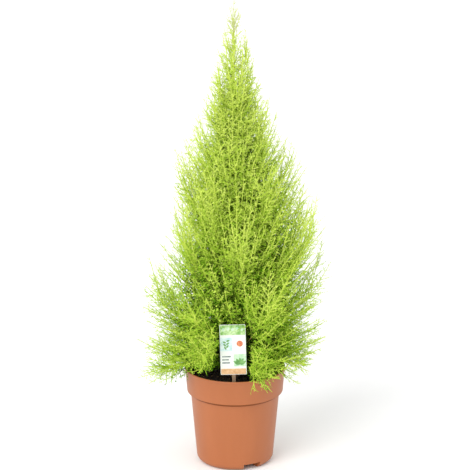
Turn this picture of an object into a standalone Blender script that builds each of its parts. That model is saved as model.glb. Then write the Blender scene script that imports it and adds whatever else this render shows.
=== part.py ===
"""Young Monterey cypress, a feathery cone of upswept plumes, growing in a round pot.

The origin is the centre of the pot's underside, +Z is up and the front of the plant faces -Y.
All sizes are in metres.
"""

import math
import random

import bmesh
import bpy
import numpy as np

# Pot, a turned shell with a tall collar under its rim.
POT_HEIGHT = 0.185
RIM_RADIUS = 0.095
COLLAR_HEIGHT = 0.0465
COLLAR_FOOT_RADIUS = 0.0907
SHOULDER_DROP = 0.005
BODY_TOP_RADIUS = 0.0838
BODY_FOOT_RADIUS = 0.0730
FOOT_ROUNDING = 0.013
POT_WALL = 0.002
POT_FLOOR_TOP = 0.016
LIP_DEPTH = 0.004
LIP_OVERHANG = 0.0008
EDGE_ROUNDING = 0.0008
FOOT_RING_INNER = 0.050
RECESS_HEIGHT = 0.013
RECESS_SLOPE = 0.002
HUB_RADIUS = 0.020
INNER_CORNER = 0.004
POT_SEGMENTS = 36
FOOT_STEPS = 3
NOTCH_AZIMUTHS = (-63.0, 117.0)
NOTCH_HALF_WIDTH = 13.5
NOTCH_HEIGHT = 0.0125
NOTCH_INNER = 0.046
NOTCH_OUTER = 0.080
DRAIN_COUNT = 4
DRAIN_RADIUS = 0.005
DRAIN_SIDES = 8
DRAIN_CIRCLE = 0.036
CUTTER_MARGIN = 0.002

# Soil inside the pot.
SOIL_TOP = 0.168
SOIL_EDGE_DROP = 0.003
SOIL_FLAT_RADIUS = 0.022
SOIL_SLOPE = ((0.80, 0.0012), (0.55, 0.0024))
SOIL_RELIEF = 0.0012
TOUCH_GAP = 0.0003
SEAT_GAP = 0.0004

# Plant label, a card on a stem pushed into the soil.
CARD_WIDTH = 0.048
CARD_HEIGHT = 0.097
CARD_THICKNESS = 0.0012
CARD_CORNER = 0.0015
CARD_FOOT_HEIGHT = 0.194
STEM_WIDTH = 0.0065
STEM_DEPTH_IN_SOIL = 0.024
STEM_POINT_HALF_WIDTH = 0.0015
STEM_POINT_LENGTH = 0.008
CORNER_SHARE = 0.3
LABEL_X = -0.0015
LABEL_Y = -0.0765
LABEL_TILT = math.radians(1.6)
LABEL_ZONE_SIDE = 0.031
LABEL_ZONE_TOP = 0.300
LABEL_ZONE_BACK = -0.067

# Trunk, one tapering leader with a root flare.
TRUNK_FOOT_RADIUS = 0.0062
TRUNK_TIP_RADIUS = 0.0013
TRUNK_TIP_HEIGHT = 0.765
TRUNK_FLARE = 0.0050
TRUNK_FLARE_HEIGHT = 0.012
TRUNK_LEAN = 0.0015
TRUNK_BEND_X = 0.0035
TRUNK_BEND_Y = 0.0021
TRUNK_WAVE_X = 1.7 * math.pi
TRUNK_WAVE_Y = 2.3 * math.pi
TRUNK_PHASE_Y = 0.5
TRUNK_RINGS = 11
TRUNK_RING_POWER = 1.5
TRUNK_SIDES = 8

# Crown's reach to the left and to the right of the trunk at several heights.
CROWN_TOP = 0.876
CROWN_PROFILE = (
    (0.130, 0.100, 0.100),
    (0.150, 0.168, 0.125),
    (0.180, 0.178, 0.132),
    (0.205, 0.170, 0.146),
    (0.240, 0.158, 0.160),
    (0.295, 0.165, 0.166),
    (0.334, 0.174, 0.168),
    (0.375, 0.162, 0.168),
    (0.431, 0.128, 0.158),
    (0.489, 0.115, 0.145),
    (0.545, 0.110, 0.132),
    (0.602, 0.100, 0.110),
    (0.640, 0.079, 0.077),
    (0.690, 0.057, 0.057),
    (0.750, 0.034, 0.033),
    (0.800, 0.022, 0.021),
    (0.876, 0.003, 0.003),
)

# Tiers of plumes from the lowest up: name, plumes, foot height, tip height, arch of the
# plume's line, azimuth of the first one, half width of a plume, side sprays in each, seed.
TIERS = (
    ("skirt", 7, 0.197, 0.212, 0.13, -116.0, 0.060, 4, 294398),
    ("low", 6, 0.214, 0.346, -0.08, -60.0, 0.084, 6, 201),
    ("middle", 6, 0.262, 0.454, -0.15, -88.0, 0.086, 6, 202),
    ("high", 5, 0.352, 0.566, -0.16, -50.0, 0.080, 6, 203),
    ("shoulder", 5, 0.455, 0.655, -0.14, -98.0, 0.070, 6, 204),
    ("upper", 4, 0.560, 0.735, -0.10, -75.0, 0.052, 4, 205),
    ("crown", 3, 0.650, 0.805, -0.06, -130.0, 0.036, 4, 206),
)
PLUME_SEED = 1000
SEEDS_PER_TIER = 40
LEADER_SEED = 1990
AZIMUTH_SPREAD = 7.0
TIP_SPREAD = {"skirt": 0.035}
TIP_SPREAD_ELSEWHERE = 0.022
FOOT_SPREAD = (-0.004, 0.014)
REACH_SPREAD = (0.93, 1.0)
ARCH_SPREAD = 0.03
BOUGH_TIERS = ("skirt", "low")
BOUGH_SHARE = 0.18
BOUGH_FOOT_RADIUS = 0.0026
BOUGH_TIP_RADIUS = 0.0018
BOUGH_RINGS = 4
BOUGH_SIDES = 5
LEADER_HALF_WIDTH = 0.021
LEADER_SPRAYS = 4
LEADER_LEAN = -0.001
SEATING_ROUNDS = 4
TWIG_TRIES = 16
TWIG_SPACING = 0.414
PATH_POINTS = 15
GOLDEN_SHARE = 0.618
TAPER_START = 1.10
TAPER_POWER = 0.60

# Plume parts.
STEM_FOOT_RADIUS = 0.0016
STEM_TIP_RADIUS = 0.0008
STEM_SIDES = 3
STEM_RINGS = 6
CORE_START = 0.16
CORE_END = 0.90
CORE_RINGS = 4
CORE_SIDES = 5
CORE_WIDTH = 0.72
CORE_POINT_BEFORE = 0.08
CORE_POINT_AFTER = 0.05
CORE_SWELL = (0.16, 0.86)
CORE_SWELL_POWER = 0.7
CORE_UNEVENNESS = (0.80, 1.08)
CORE_SLIM = 0.004
CORE_LEAST = 0.0021
DRAW_IN_ROUNDS = 8
DRAW_IN_SHARE = 0.86
TWIG_RADIUS = 0.0013
TWIG_SIDES = 3
TWIG_FIRST = 0.20
TWIG_LAST = 0.94
TWIG_REACH = 0.82
TWIG_SPREAD = {"skirt": 320.0, "low": 300.0, "leader": 360.0}
TWIG_SPREAD_ELSEWHERE = 240.0
TWIG_LOW_ANGLE = math.radians(50.0)
TWIG_HIGH_ANGLE = math.radians(26.0)
SPRAY_ANGLE = math.radians(34.0)
SPRAY_THICKNESS = 0.0013
SPRAY_WIDTH_SHARE = 0.20
SPRAY_TEETH_LEFT = ((0.40, 1.00), (0.50, 0.42))
SPRAY_TEETH_RIGHT = ((0.62, 0.90), (0.70, 0.34))
SPRAY_LENGTH = 1.15
SPRAY_LEAST = 0.018
SPRAY_APEX = 0.42
SPRAY_SINK = 0.010
SPRAY_ROLL = 0.9
SPRAY_BEND_SPREAD = (0.8, 1.2)
SPRAYS_ON_TWIG = ((1.0, -0.4, 1.0), (0.66, 1.1, 0.92))
SPRAYS_ON_TIP = ((0.0, 0.75, 1.0), (0.5, 0.95, 0.8))
TIP_SPRAY_SHARE = 0.60
SPRAY_SHRINKS = (1.0, 0.85, 0.7, 0.58)
TWIG_SHRINKS = (1.0, 0.8, 0.62)

# Clearances that keep each plume to its own space.
SPACE_MARGIN = 0.0011
LIMB_MARGIN = 0.0007
CROWN_SLACK = 1.04
CROWN_FRINGE = 0.006
CORE_REACH = 0.86
RIM_MARGIN = 0.003
STEADY_GUIDE = (0.31, -0.95, 0.02)
UPWARD_SHARE = 0.04
NEAR_AXIS = 0.006


def clear_scene():
    """Remove every object that the file starts with."""
    for found in list(bpy.data.objects):
        bpy.data.objects.remove(found, do_unlink=True)


def make_material(name, colour, roughness):
    """A plain surface of one colour, given as the eye sees it."""
    material = bpy.data.materials.new(name)
    material.use_nodes = True
    shader = material.node_tree.nodes["Principled BSDF"]
    linear = [((value + 0.055) / 1.055) ** 2.4 for value in colour]
    shader.inputs["Base Color"].default_value = (*linear, 1.0)
    shader.inputs["Roughness"].default_value = roughness
    shader.inputs["Metallic"].default_value = 0.0
    return material


def add_object(name, vertices, faces, material=None):
    """A mesh object with its faces turned outward."""
    mesh = bpy.data.meshes.new(name)
    mesh.from_pydata([tuple(map(float, point)) for point in vertices], [], faces)
    shell = bmesh.new()
    shell.from_mesh(mesh)
    bmesh.ops.recalc_face_normals(shell, faces=shell.faces)
    shell.to_mesh(mesh)
    shell.free()
    built = bpy.data.objects.new(name, mesh)
    bpy.context.scene.collection.objects.link(built)
    if material is not None:
        mesh.materials.append(material)
    return built


def smooth_round_faces(built, angle=35.0):
    """Shade a round piece smooth and keep its edges crisp."""
    built.data.shade_smooth()
    built.data.set_sharp_from_angle(angle=math.radians(angle))


def turned(name, profile, segments, material):
    """A closed profile of (radius, height) points turned about the Z axis."""
    vertices = []
    rings = []
    for radius, height in profile:
        first = len(vertices)
        count = 1 if radius == 0.0 else segments
        for step in range(count):
            angle = 2.0 * math.pi * step / segments
            vertices.append((radius * math.cos(angle), radius * math.sin(angle), height))
        rings.append([first + step % count for step in range(segments)])
    faces = []
    for lower, upper in zip(rings, rings[1:] + rings[:1]):
        for step in range(segments):
            following = (step + 1) % segments
            corners = [lower[step], lower[following], upper[following], upper[step]]
            face = list(dict.fromkeys(corners))
            if len(face) > 2:
                faces.append(face)
    return add_object(name, vertices, faces, material)


def ring_points(centre, ahead, radius, sides):
    """Corners of a ring round a centre, square to a direction."""
    side, up = cross_frame(ahead)
    angles = [2.0 * math.pi * step / sides for step in range(sides)]
    return [centre + (side * math.cos(angle) + up * math.sin(angle)) * radius for angle in angles]


def tube(name, points, radii, sides, material=None):
    """A tapering limb with flat ends along a line of points."""
    points = np.asarray(points, float)
    vertices = []
    for index, centre in enumerate(points):
        ahead = points[min(index + 1, len(points) - 1)] - points[max(index - 1, 0)]
        vertices += ring_points(centre, ahead, radii[index], sides)
    faces = [list(range(sides)), list(range(len(vertices) - sides, len(vertices)))]
    for ring in range(len(points) - 1):
        for step in range(sides):
            following = (step + 1) % sides
            low = ring * sides
            high = low + sides
            faces.append([low + step, low + following, high + following, high + step])
    return add_object(name, vertices, faces, material)


def spike(name, foot, tip, radius, sides):
    """A slim pointed limb."""
    vertices = [*ring_points(foot, tip - foot, radius, sides), tip]
    faces = [list(range(sides))]
    faces += [[step, (step + 1) % sides, sides] for step in range(sides)]
    return add_object(name, vertices, faces)


def unit(vector):
    """The vector at length one."""
    vector = np.asarray(vector, float)
    return vector / np.linalg.norm(vector)


def cross_frame(direction):
    """Two steady directions square to a third."""
    direction = unit(direction)
    side = unit(np.cross(direction, STEADY_GUIDE))
    return side, np.cross(direction, side)


def outer_frame(point, direction):
    """Two directions square to a stem's: the first faces away from the trunk and up."""
    outward = unit((point[0], point[1], UPWARD_SHARE))
    side = outward - direction * outward.dot(direction)
    if np.linalg.norm(side) < 0.2 or np.hypot(point[0], point[1]) < NEAR_AXIS:
        return cross_frame(direction)
    side = unit(side)
    return side, np.cross(direction, side)


def cut_away(target, cutters):
    """Take the cutters' shapes out of a solid and remove the cutters."""
    for cutter in cutters:
        cutter.hide_render = True
        cutter.display_type = "WIRE"
        modifier = target.modifiers.new(cutter.name, "BOOLEAN")
        modifier.operation = "DIFFERENCE"
        modifier.solver = "EXACT"
        modifier.object = cutter
    apply_modifiers(target)
    for cutter in cutters:
        bpy.data.objects.remove(cutter, do_unlink=True)


def apply_modifiers(built):
    """Turn the object's modified shape into its own mesh."""
    depsgraph = bpy.context.evaluated_depsgraph_get()
    result = bpy.data.meshes.new_from_object(built.evaluated_get(depsgraph))
    built.modifiers.clear()
    built.data = result


def keep_largest_shell(built):
    """Drop loose scraps and fill sealed hollows: only the outer shell stays."""
    shell = bmesh.new()
    shell.from_mesh(built.data)
    bmesh.ops.triangulate(shell, faces=shell.faces)
    bmesh.ops.dissolve_degenerate(shell, dist=1e-6, edges=shell.edges)
    bmesh.ops.triangulate(shell, faces=shell.faces)
    remaining = set(shell.faces)
    groups = []
    while remaining:
        seed = remaining.pop()
        group = {seed}
        waiting = [seed]
        while waiting:
            face = waiting.pop()
            for edge in face.edges:
                for near in edge.link_faces:
                    if len(edge.link_faces) == 2 and near in remaining:
                        remaining.discard(near)
                        group.add(near)
                        waiting.append(near)
        groups.append(group)
    groups.sort(key=shell_volume, reverse=True)
    unwanted = [face for group in groups[1:] for face in group]
    bmesh.ops.delete(shell, geom=unwanted, context="FACES")
    shell.to_mesh(built.data)
    shell.free()


def shell_volume(faces):
    """Volume inside a closed group of triangles."""
    total = 0.0
    for face in faces:
        first, second, third = (corner.co for corner in face.verts)
        total += first.dot(second.cross(third)) / 6.0
    return total


def body_radius(height):
    """Outer radius of the pot's tapering body."""
    shoulder = POT_HEIGHT - COLLAR_HEIGHT - SHOULDER_DROP
    share = (height - FOOT_ROUNDING) / (shoulder - FOOT_ROUNDING)
    return BODY_FOOT_RADIUS + (BODY_TOP_RADIUS - BODY_FOOT_RADIUS) * share


def inner_profile():
    """The pot's inner face, from the middle of its floor up to the rim."""
    collar_foot = POT_HEIGHT - COLLAR_HEIGHT
    corner = INNER_CORNER
    return [
        (0.0, POT_FLOOR_TOP),
        (body_radius(POT_FLOOR_TOP) - POT_WALL - corner, POT_FLOOR_TOP),
        (body_radius(POT_FLOOR_TOP + corner) - POT_WALL, POT_FLOOR_TOP + corner),
        (BODY_TOP_RADIUS - POT_WALL, collar_foot - SHOULDER_DROP + POT_WALL),
        (COLLAR_FOOT_RADIUS - POT_WALL, collar_foot + POT_WALL),
        (RIM_RADIUS - LIP_OVERHANG - POT_WALL, POT_HEIGHT - EDGE_ROUNDING),
    ]


def make_pot(material):
    """The pot: body, collar, lip, foot ring, drain notches and drain holes."""
    collar_foot = POT_HEIGHT - COLLAR_HEIGHT
    lip_foot = POT_HEIGHT - LIP_DEPTH
    ring_outer = BODY_FOOT_RADIUS - FOOT_ROUNDING
    profile = [
        (0.0, 0.0),
        (HUB_RADIUS, 0.0),
        (HUB_RADIUS + RECESS_SLOPE, RECESS_HEIGHT),
        (FOOT_RING_INNER, RECESS_HEIGHT),
        (FOOT_RING_INNER + RECESS_SLOPE, 0.0),
    ]
    for step in range(FOOT_STEPS + 1):
        angle = 0.5 * math.pi * step / FOOT_STEPS
        radius = ring_outer + FOOT_ROUNDING * math.sin(angle)
        profile.append((radius, FOOT_ROUNDING * (1.0 - math.cos(angle))))
    profile += [
        (BODY_TOP_RADIUS, collar_foot - SHOULDER_DROP),
        (COLLAR_FOOT_RADIUS - EDGE_ROUNDING, collar_foot),
        (COLLAR_FOOT_RADIUS, collar_foot + EDGE_ROUNDING),
        (RIM_RADIUS - LIP_OVERHANG, lip_foot),
        (RIM_RADIUS, lip_foot + EDGE_ROUNDING),
        (RIM_RADIUS, POT_HEIGHT - EDGE_ROUNDING),
        (RIM_RADIUS - EDGE_ROUNDING, POT_HEIGHT),
        (RIM_RADIUS - LIP_OVERHANG - POT_WALL + EDGE_ROUNDING, POT_HEIGHT),
    ]
    pot = turned("pot", profile + inner_profile()[::-1], POT_SEGMENTS, material)
    cutters = [notch_cutter(azimuth) for azimuth in NOTCH_AZIMUTHS]
    cutters += [drain_cutter(index) for index in range(DRAIN_COUNT)]
    cut_away(pot, cutters)
    smooth_round_faces(pot)
    return pot


def notch_cutter(azimuth):
    """A wedge that opens the foot ring to the outside, so water can run off."""
    arc = [math.radians(azimuth + NOTCH_HALF_WIDTH * share) for share in (-1.0, -0.33, 0.33, 1.0)]
    inner = [(math.cos(angle) * NOTCH_INNER, math.sin(angle) * NOTCH_INNER) for angle in arc]
    outer = [(math.cos(angle) * NOTCH_OUTER, math.sin(angle) * NOTCH_OUTER) for angle in reversed(arc)]
    return prism("notch", inner + outer, -CUTTER_MARGIN, NOTCH_HEIGHT)


def drain_cutter(index):
    """A round hole through the pot's floor."""
    azimuth = 2.0 * math.pi * (index + 0.5) / DRAIN_COUNT
    outline = []
    for step in range(DRAIN_SIDES):
        angle = 2.0 * math.pi * step / DRAIN_SIDES
        x = DRAIN_CIRCLE * math.cos(azimuth) + DRAIN_RADIUS * math.cos(angle)
        y = DRAIN_CIRCLE * math.sin(azimuth) + DRAIN_RADIUS * math.sin(angle)
        outline.append((x, y))
    return prism("drain", outline, RECESS_HEIGHT - CUTTER_MARGIN, POT_FLOOR_TOP + CUTTER_MARGIN)


def prism(name, outline, bottom, top):
    """An upright prism on a flat outline of (x, y) points."""
    count = len(outline)
    vertices = [(x, y, bottom) for x, y in outline] + [(x, y, top) for x, y in outline]
    faces = [list(range(count)), list(range(count, 2 * count))]
    for step in range(count):
        following = (step + 1) % count
        faces.append([step, following, count + following, count + step])
    return add_object(name, vertices, faces)


def make_soil(material):
    """The root ball that fills the pot, flat round the trunk and a little lower at the wall."""
    wall = [(max(radius - TOUCH_GAP, 0.0), height) for radius, height in inner_profile()]
    lowest = [(radius, height + TOUCH_GAP) for radius, height in wall[:2]]
    top_inner, top_outer = wall[-2], wall[-1]
    edge_height = SOIL_TOP - SOIL_EDGE_DROP
    share = (edge_height - top_inner[1]) / (top_outer[1] - top_inner[1])
    edge_radius = top_inner[0] + (top_outer[0] - top_inner[0]) * share
    profile = lowest + wall[2:5] + [(edge_radius, edge_height)]
    profile += [(edge_radius * inward, edge_height + rise) for inward, rise in SOIL_SLOPE]
    profile += [(SOIL_FLAT_RADIUS, SOIL_TOP), (0.0, SOIL_TOP)]
    soil = turned("soil", profile, POT_SEGMENTS, material)
    roughen_soil(soil)
    slot = label_outline(TOUCH_GAP)
    slot_cutter = label_plate("slot", slot, CARD_THICKNESS + 2.0 * TOUCH_GAP)
    cut_away(soil, [slot_cutter])
    return soil


def roughen_soil(soil):
    """Small seeded hills on the soil between the flat middle and the wall."""
    chance = random.Random(11)
    for vertex in soil.data.vertices:
        radius = math.hypot(vertex.co.x, vertex.co.y)
        on_top = vertex.co.z > SOIL_TOP - SOIL_EDGE_DROP + TOUCH_GAP
        if on_top and radius > SOIL_FLAT_RADIUS + TOUCH_GAP:
            vertex.co.z += chance.uniform(-SOIL_RELIEF, SOIL_RELIEF)


def label_outline(growth=0.0):
    """Outline of the label in its own plane: a card with round corners and a pointed stem."""
    half = CARD_WIDTH / 2.0
    stem = STEM_WIDTH / 2.0 + growth
    foot = SOIL_TOP - STEM_DEPTH_IN_SOIL - growth
    top = CARD_FOOT_HEIGHT + CARD_HEIGHT
    corner = CARD_CORNER
    cut = corner * CORNER_SHARE
    right = [
        (STEM_POINT_HALF_WIDTH + growth, foot),
        (stem, foot + STEM_POINT_LENGTH),
        (stem, CARD_FOOT_HEIGHT),
        (half - corner, CARD_FOOT_HEIGHT),
        (half - cut, CARD_FOOT_HEIGHT + cut),
        (half, CARD_FOOT_HEIGHT + corner),
        (half, top - corner),
        (half - cut, top - cut),
        (half - corner, top),
    ]
    return right + [(-x, z) for x, z in reversed(right)]


def label_plate(name, outline, thickness, material=None):
    """A flat upright plate of the given outline, leaning with the label."""
    count = len(outline)
    turn_x, turn_z = math.cos(LABEL_TILT), math.sin(LABEL_TILT)
    vertices = []
    for y in (-thickness / 2.0, thickness / 2.0):
        for x, z in outline:
            rise = z - SOIL_TOP
            leaned = (x * turn_x - rise * turn_z, x * turn_z + rise * turn_x)
            vertices.append((LABEL_X + leaned[0], LABEL_Y + y, SOIL_TOP + leaned[1]))
    faces = [list(range(count)), list(range(count, 2 * count))]
    for step in range(count):
        following = (step + 1) % count
        faces.append([step, following, count + following, count + step])
    return add_object(name, vertices, faces, material)


def trunk_centre(height):
    """Centre of the trunk at a height."""
    share = (height - SOIL_TOP) / (TRUNK_TIP_HEIGHT - SOIL_TOP)
    x = TRUNK_LEAN * share + TRUNK_BEND_X * math.sin(TRUNK_WAVE_X * share)
    y = TRUNK_BEND_Y * (math.sin(TRUNK_WAVE_Y * share + TRUNK_PHASE_Y) - math.sin(TRUNK_PHASE_Y))
    return np.array((x, y, height))


def trunk_radius(height):
    """Radius of the trunk at a height, widening at its foot."""
    share = (height - SOIL_TOP) / (TRUNK_TIP_HEIGHT - SOIL_TOP)
    taper = TRUNK_FOOT_RADIUS + (TRUNK_TIP_RADIUS - TRUNK_FOOT_RADIUS) * share
    return taper + TRUNK_FLARE * math.exp((SOIL_TOP - height) / TRUNK_FLARE_HEIGHT)


def trunk_heights():
    """Heights of the trunk's rings, closer together in the flare."""
    foot = SOIL_TOP + TOUCH_GAP
    shares = [(index / (TRUNK_RINGS - 1)) ** TRUNK_RING_POWER for index in range(TRUNK_RINGS)]
    return [foot + (TRUNK_TIP_HEIGHT - foot) * share for share in shares]


def trunk_gap(points):
    """Distance of the nearest point from the trunk's flat-sided surface, measured level."""
    heights = trunk_heights()
    radii = [trunk_radius(height) for height in heights]
    half_side = math.pi / TRUNK_SIDES
    gaps = []
    for point in points:
        away = (point - ring_centre(point[2]))[:2]
        turn = math.atan2(away[1], away[0]) % (2.0 * half_side)
        surface = np.interp(point[2], heights, radii) * math.cos(half_side) / math.cos(turn - half_side)
        gaps.append(np.linalg.norm(away) - surface)
    return min(gaps)


def ring_centre(height):
    """Centre of the built trunk at a height, straight between its rings."""
    heights = trunk_heights()
    centres = np.array([trunk_centre(ring) for ring in heights])
    return np.array([np.interp(height, heights, centres[:, axis]) for axis in range(3)])


def make_trunk(material):
    """The trunk, flat at the ground and tapering to its tip."""
    heights = trunk_heights()
    vertices = []
    for height in heights:
        centre = trunk_centre(height)
        for step in range(TRUNK_SIDES):
            angle = 2.0 * math.pi * step / TRUNK_SIDES
            offset = np.array((math.cos(angle), math.sin(angle), 0.0))
            vertices.append(centre + offset * trunk_radius(height))
    count = len(vertices)
    faces = [list(range(TRUNK_SIDES)), list(range(count - TRUNK_SIDES, count))]
    for ring in range(len(heights) - 1):
        for step in range(TRUNK_SIDES):
            following = (step + 1) % TRUNK_SIDES
            low = ring * TRUNK_SIDES
            high = low + TRUNK_SIDES
            faces.append([low + step, low + following, high + following, high + step])
    trunk = add_object("trunk", vertices, faces, material)
    smooth_round_faces(trunk)
    return trunk


def crown_radius(heights, azimuths):
    """How far the crown reaches at a height, to the left and to the right of the trunk."""
    levels, left, right = np.array(CROWN_PROFILE).T
    to_left = np.interp(heights, levels, left)
    to_right = np.interp(heights, levels, right)
    turn = np.cos(azimuths)
    return to_left * (1.0 - turn) / 2.0 + to_right * (1.0 + turn) / 2.0


def plan_plumes():
    """Lines, widths and names of every plume, tier by tier, and the leader last."""
    plumes = []
    for tier_number, tier in enumerate(TIERS):
        name, count, foot, tip, arch, first, width, sprays, seed = tier
        chance = random.Random(seed)
        spread = TIP_SPREAD.get(name, TIP_SPREAD_ELSEWHERE)
        for index in range(count):
            turn = chance.uniform(-AZIMUTH_SPREAD, AZIMUTH_SPREAD)
            azimuth = math.radians(first + 360.0 * index / count + turn)
            tip_height = tip + chance.uniform(-spread, spread)
            reach = float(crown_radius(tip_height, azimuth)) * chance.uniform(*REACH_SPREAD)
            start_height = foot + chance.uniform(*FOOT_SPREAD)
            bent = arch + chance.uniform(-ARCH_SPREAD, ARCH_SPREAD)
            path = plume_path(start_height, azimuth, reach, tip_height, bent, name in BOUGH_TIERS)
            plumes.append({
                "name": f"{name}_{index + 1}",
                "tier": name,
                "path": path,
                "share": BOUGH_SHARE if name in BOUGH_TIERS else 0.0,
                "width": width,
                "sprays": sprays,
                "seed": PLUME_SEED + SEEDS_PER_TIER * tier_number + index,
            })
    plumes.append(leader_plume())
    return plumes


def plume_path(start_height, azimuth, reach, tip_height, arch, on_bough):
    """A bent line from the trunk's surface out and up to the plume's tip."""
    outward = np.array((math.cos(azimuth), math.sin(azimuth), 0.0))
    up = np.array((0.0, 0.0, 1.0))
    tip = outward * reach + up * tip_height
    radius = BOUGH_FOOT_RADIUS if on_bough else STEM_FOOT_RADIUS
    sides = BOUGH_SIDES if on_bough else STEM_SIDES
    shares = np.linspace(0.0, 1.0, PATH_POINTS)[:, None]
    away = trunk_radius(start_height) + radius
    for _round in range(SEATING_ROUNDS):
        foot = ring_centre(start_height) + outward * away
        middle = (foot + tip) / 2.0 + up * arch * np.linalg.norm(tip - foot)
        path = (1.0 - shares) ** 2 * foot + 2.0 * shares * (1.0 - shares) * middle + shares ** 2 * tip
        ahead = limb_start(path, on_bough)
        away += SEAT_GAP - trunk_gap(limb_foot(foot, ahead, radius, sides))
    return path


def limb_foot(centre, ahead, radius, sides):
    """Points all over a limb's flat foot: its corners, the middles of its edges and its centre."""
    corners = ring_points(centre, ahead, radius, sides)
    between = [(first + second) / 2.0 for first, second in zip(corners, corners[1:] + corners[:1])]
    return [*corners, *between, centre]


def limb_start(path, on_bough):
    """Direction of the first stretch of the limb that leaves the trunk."""
    second = BOUGH_SHARE / (BOUGH_RINGS - 1) if on_bough else 1.0 / (STEM_RINGS - 1)
    return along(path, second)[0] - path[0]


def leader_plume():
    """The plume that carries the trunk's line on to the top."""
    foot = trunk_centre(TRUNK_TIP_HEIGHT) + np.array((0.0, 0.0, TOUCH_GAP))
    tip = np.array((foot[0] + LEADER_LEAN, foot[1], CROWN_TOP))
    shares = np.linspace(0.0, 1.0, PATH_POINTS)[:, None]
    path = foot * (1.0 - shares) + tip * shares
    return {
        "name": "leader",
        "tier": "leader",
        "path": path,
        "share": 0.0,
        "width": LEADER_HALF_WIDTH,
        "sprays": LEADER_SPRAYS,
        "seed": LEADER_SEED,
    }


def along(path, share):
    """Point and direction at a share of a line's length."""
    place = min(max(share, 0.0), 1.0) * (len(path) - 1)
    index = min(int(place), len(path) - 2)
    part = place - index
    point = path[index] * (1.0 - part) + path[index + 1] * part
    ahead = path[min(index + 2, len(path) - 1)] - path[max(index - 1, 0)]
    return point, unit(ahead)


def half_width(plume, part):
    """Half width of the plume, narrowing to its tip."""
    return plume["width"] * (TAPER_START - part) ** TAPER_POWER


def segment_distances(points, starts, ends):
    """Distance from each point to each straight piece, and the share along it."""
    points = np.atleast_2d(points)[:, None, :]
    spans = ends - starts
    lengths = np.maximum((spans ** 2).sum(axis=1), 1e-12)
    shares = ((points - starts) * spans).sum(axis=2) / lengths
    shares = np.clip(shares, 0.0, 1.0)
    nearest = starts + shares[:, :, None] * spans
    return np.linalg.norm(points - nearest, axis=2), shares


class Space:
    """Tells whether points keep to one plume's own space."""

    def __init__(self, plumes):
        self.starts = np.concatenate([plume["path"][:-1] for plume in plumes])
        self.ends = np.concatenate([plume["path"][1:] for plume in plumes])
        owners = [np.full(len(plume["path"]) - 1, index) for index, plume in enumerate(plumes)]
        self.owners = np.concatenate(owners)
        limbs = []
        heights = trunk_heights()
        for low, high in zip(heights, heights[1:]):
            limbs.append((trunk_centre(low), trunk_centre(high), trunk_radius(low), trunk_radius(high)))
        for plume in plumes:
            points, radii = bough_line(plume)
            for index in range(len(points) - 1):
                limbs.append((points[index], points[index + 1], radii[index], radii[index + 1]))
        self.limb_starts = np.array([limb[0] for limb in limbs])
        self.limb_ends = np.array([limb[1] for limb in limbs])
        self.limb_radii = np.array([(limb[2], limb[3]) for limb in limbs])

    def holds(self, index, points):
        """True if all the points are the plume's own, clear of limbs, pot and label."""
        points = np.atleast_2d(points)
        return self.own(index, points) and self.clear(points) and in_crown(points)

    def own(self, index, points):
        """True if the plume's line is the nearest one to every point."""
        distances, _shares = segment_distances(points, self.starts, self.ends)
        mine = distances[:, self.owners == index].min(axis=1)
        others = distances[:, self.owners != index].min(axis=1)
        return bool((mine + SPACE_MARGIN < others).all())

    def clear(self, points):
        """True if no point touches the trunk or a bough."""
        distances, shares = segment_distances(points, self.limb_starts, self.limb_ends)
        low, high = self.limb_radii.T
        radii = low + (high - low) * shares
        return bool((distances > radii + LIMB_MARGIN).all())


def in_crown(points, slack=CROWN_SLACK):
    """True if the points are inside the crown's reach and clear of pot and label."""
    x, y, z = points.T
    radius = np.hypot(x, y)
    reach = crown_radius(z, np.arctan2(y, x)) * slack + CROWN_FRINGE
    over_pot = (radius < RIM_RADIUS + RIM_MARGIN) & (z < POT_HEIGHT + RIM_MARGIN)
    by_label = (np.abs(x - LABEL_X) < LABEL_ZONE_SIDE) & (y < LABEL_ZONE_BACK) & (z < LABEL_ZONE_TOP)
    too_high = z > CROWN_TOP
    return not (over_pot | by_label | too_high | (radius > reach)).any()


def bough_line(plume):
    """Points and radii of the limb between the trunk and the plume, or nothing."""
    if plume["share"] == 0.0:
        return [], []
    shares = np.linspace(0.0, plume["share"], BOUGH_RINGS)
    points = [along(plume["path"], share)[0] for share in shares]
    radii = np.linspace(BOUGH_FOOT_RADIUS, BOUGH_TIP_RADIUS, BOUGH_RINGS)
    return points, list(radii)


def make_bough(plume, material):
    """One tapering limb from the trunk to where its plume begins."""
    points, radii = bough_line(plume)
    bough = tube(f"bough_{plume['name']}", points, radii, BOUGH_SIDES, material)
    smooth_round_faces(bough, 70.0)
    return bough


def make_stem(plume):
    """The plume's middle line as a slim limb."""
    points = list(stem_line(plume))
    if plume["share"] > 0.0:
        points[0] = points[0] + unit(points[1] - points[0]) * SEAT_GAP
    radii = np.linspace(STEM_FOOT_RADIUS, STEM_TIP_RADIUS, STEM_RINGS)
    return tube("stem", points, radii, STEM_SIDES)


def stem_line(plume):
    """Centres of the stem's rings, from the end of the bough or the trunk to the tip."""
    shares = np.linspace(plume["share"], 1.0, STEM_RINGS)
    return np.array([along(plume["path"], share)[0] for share in shares])


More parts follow.
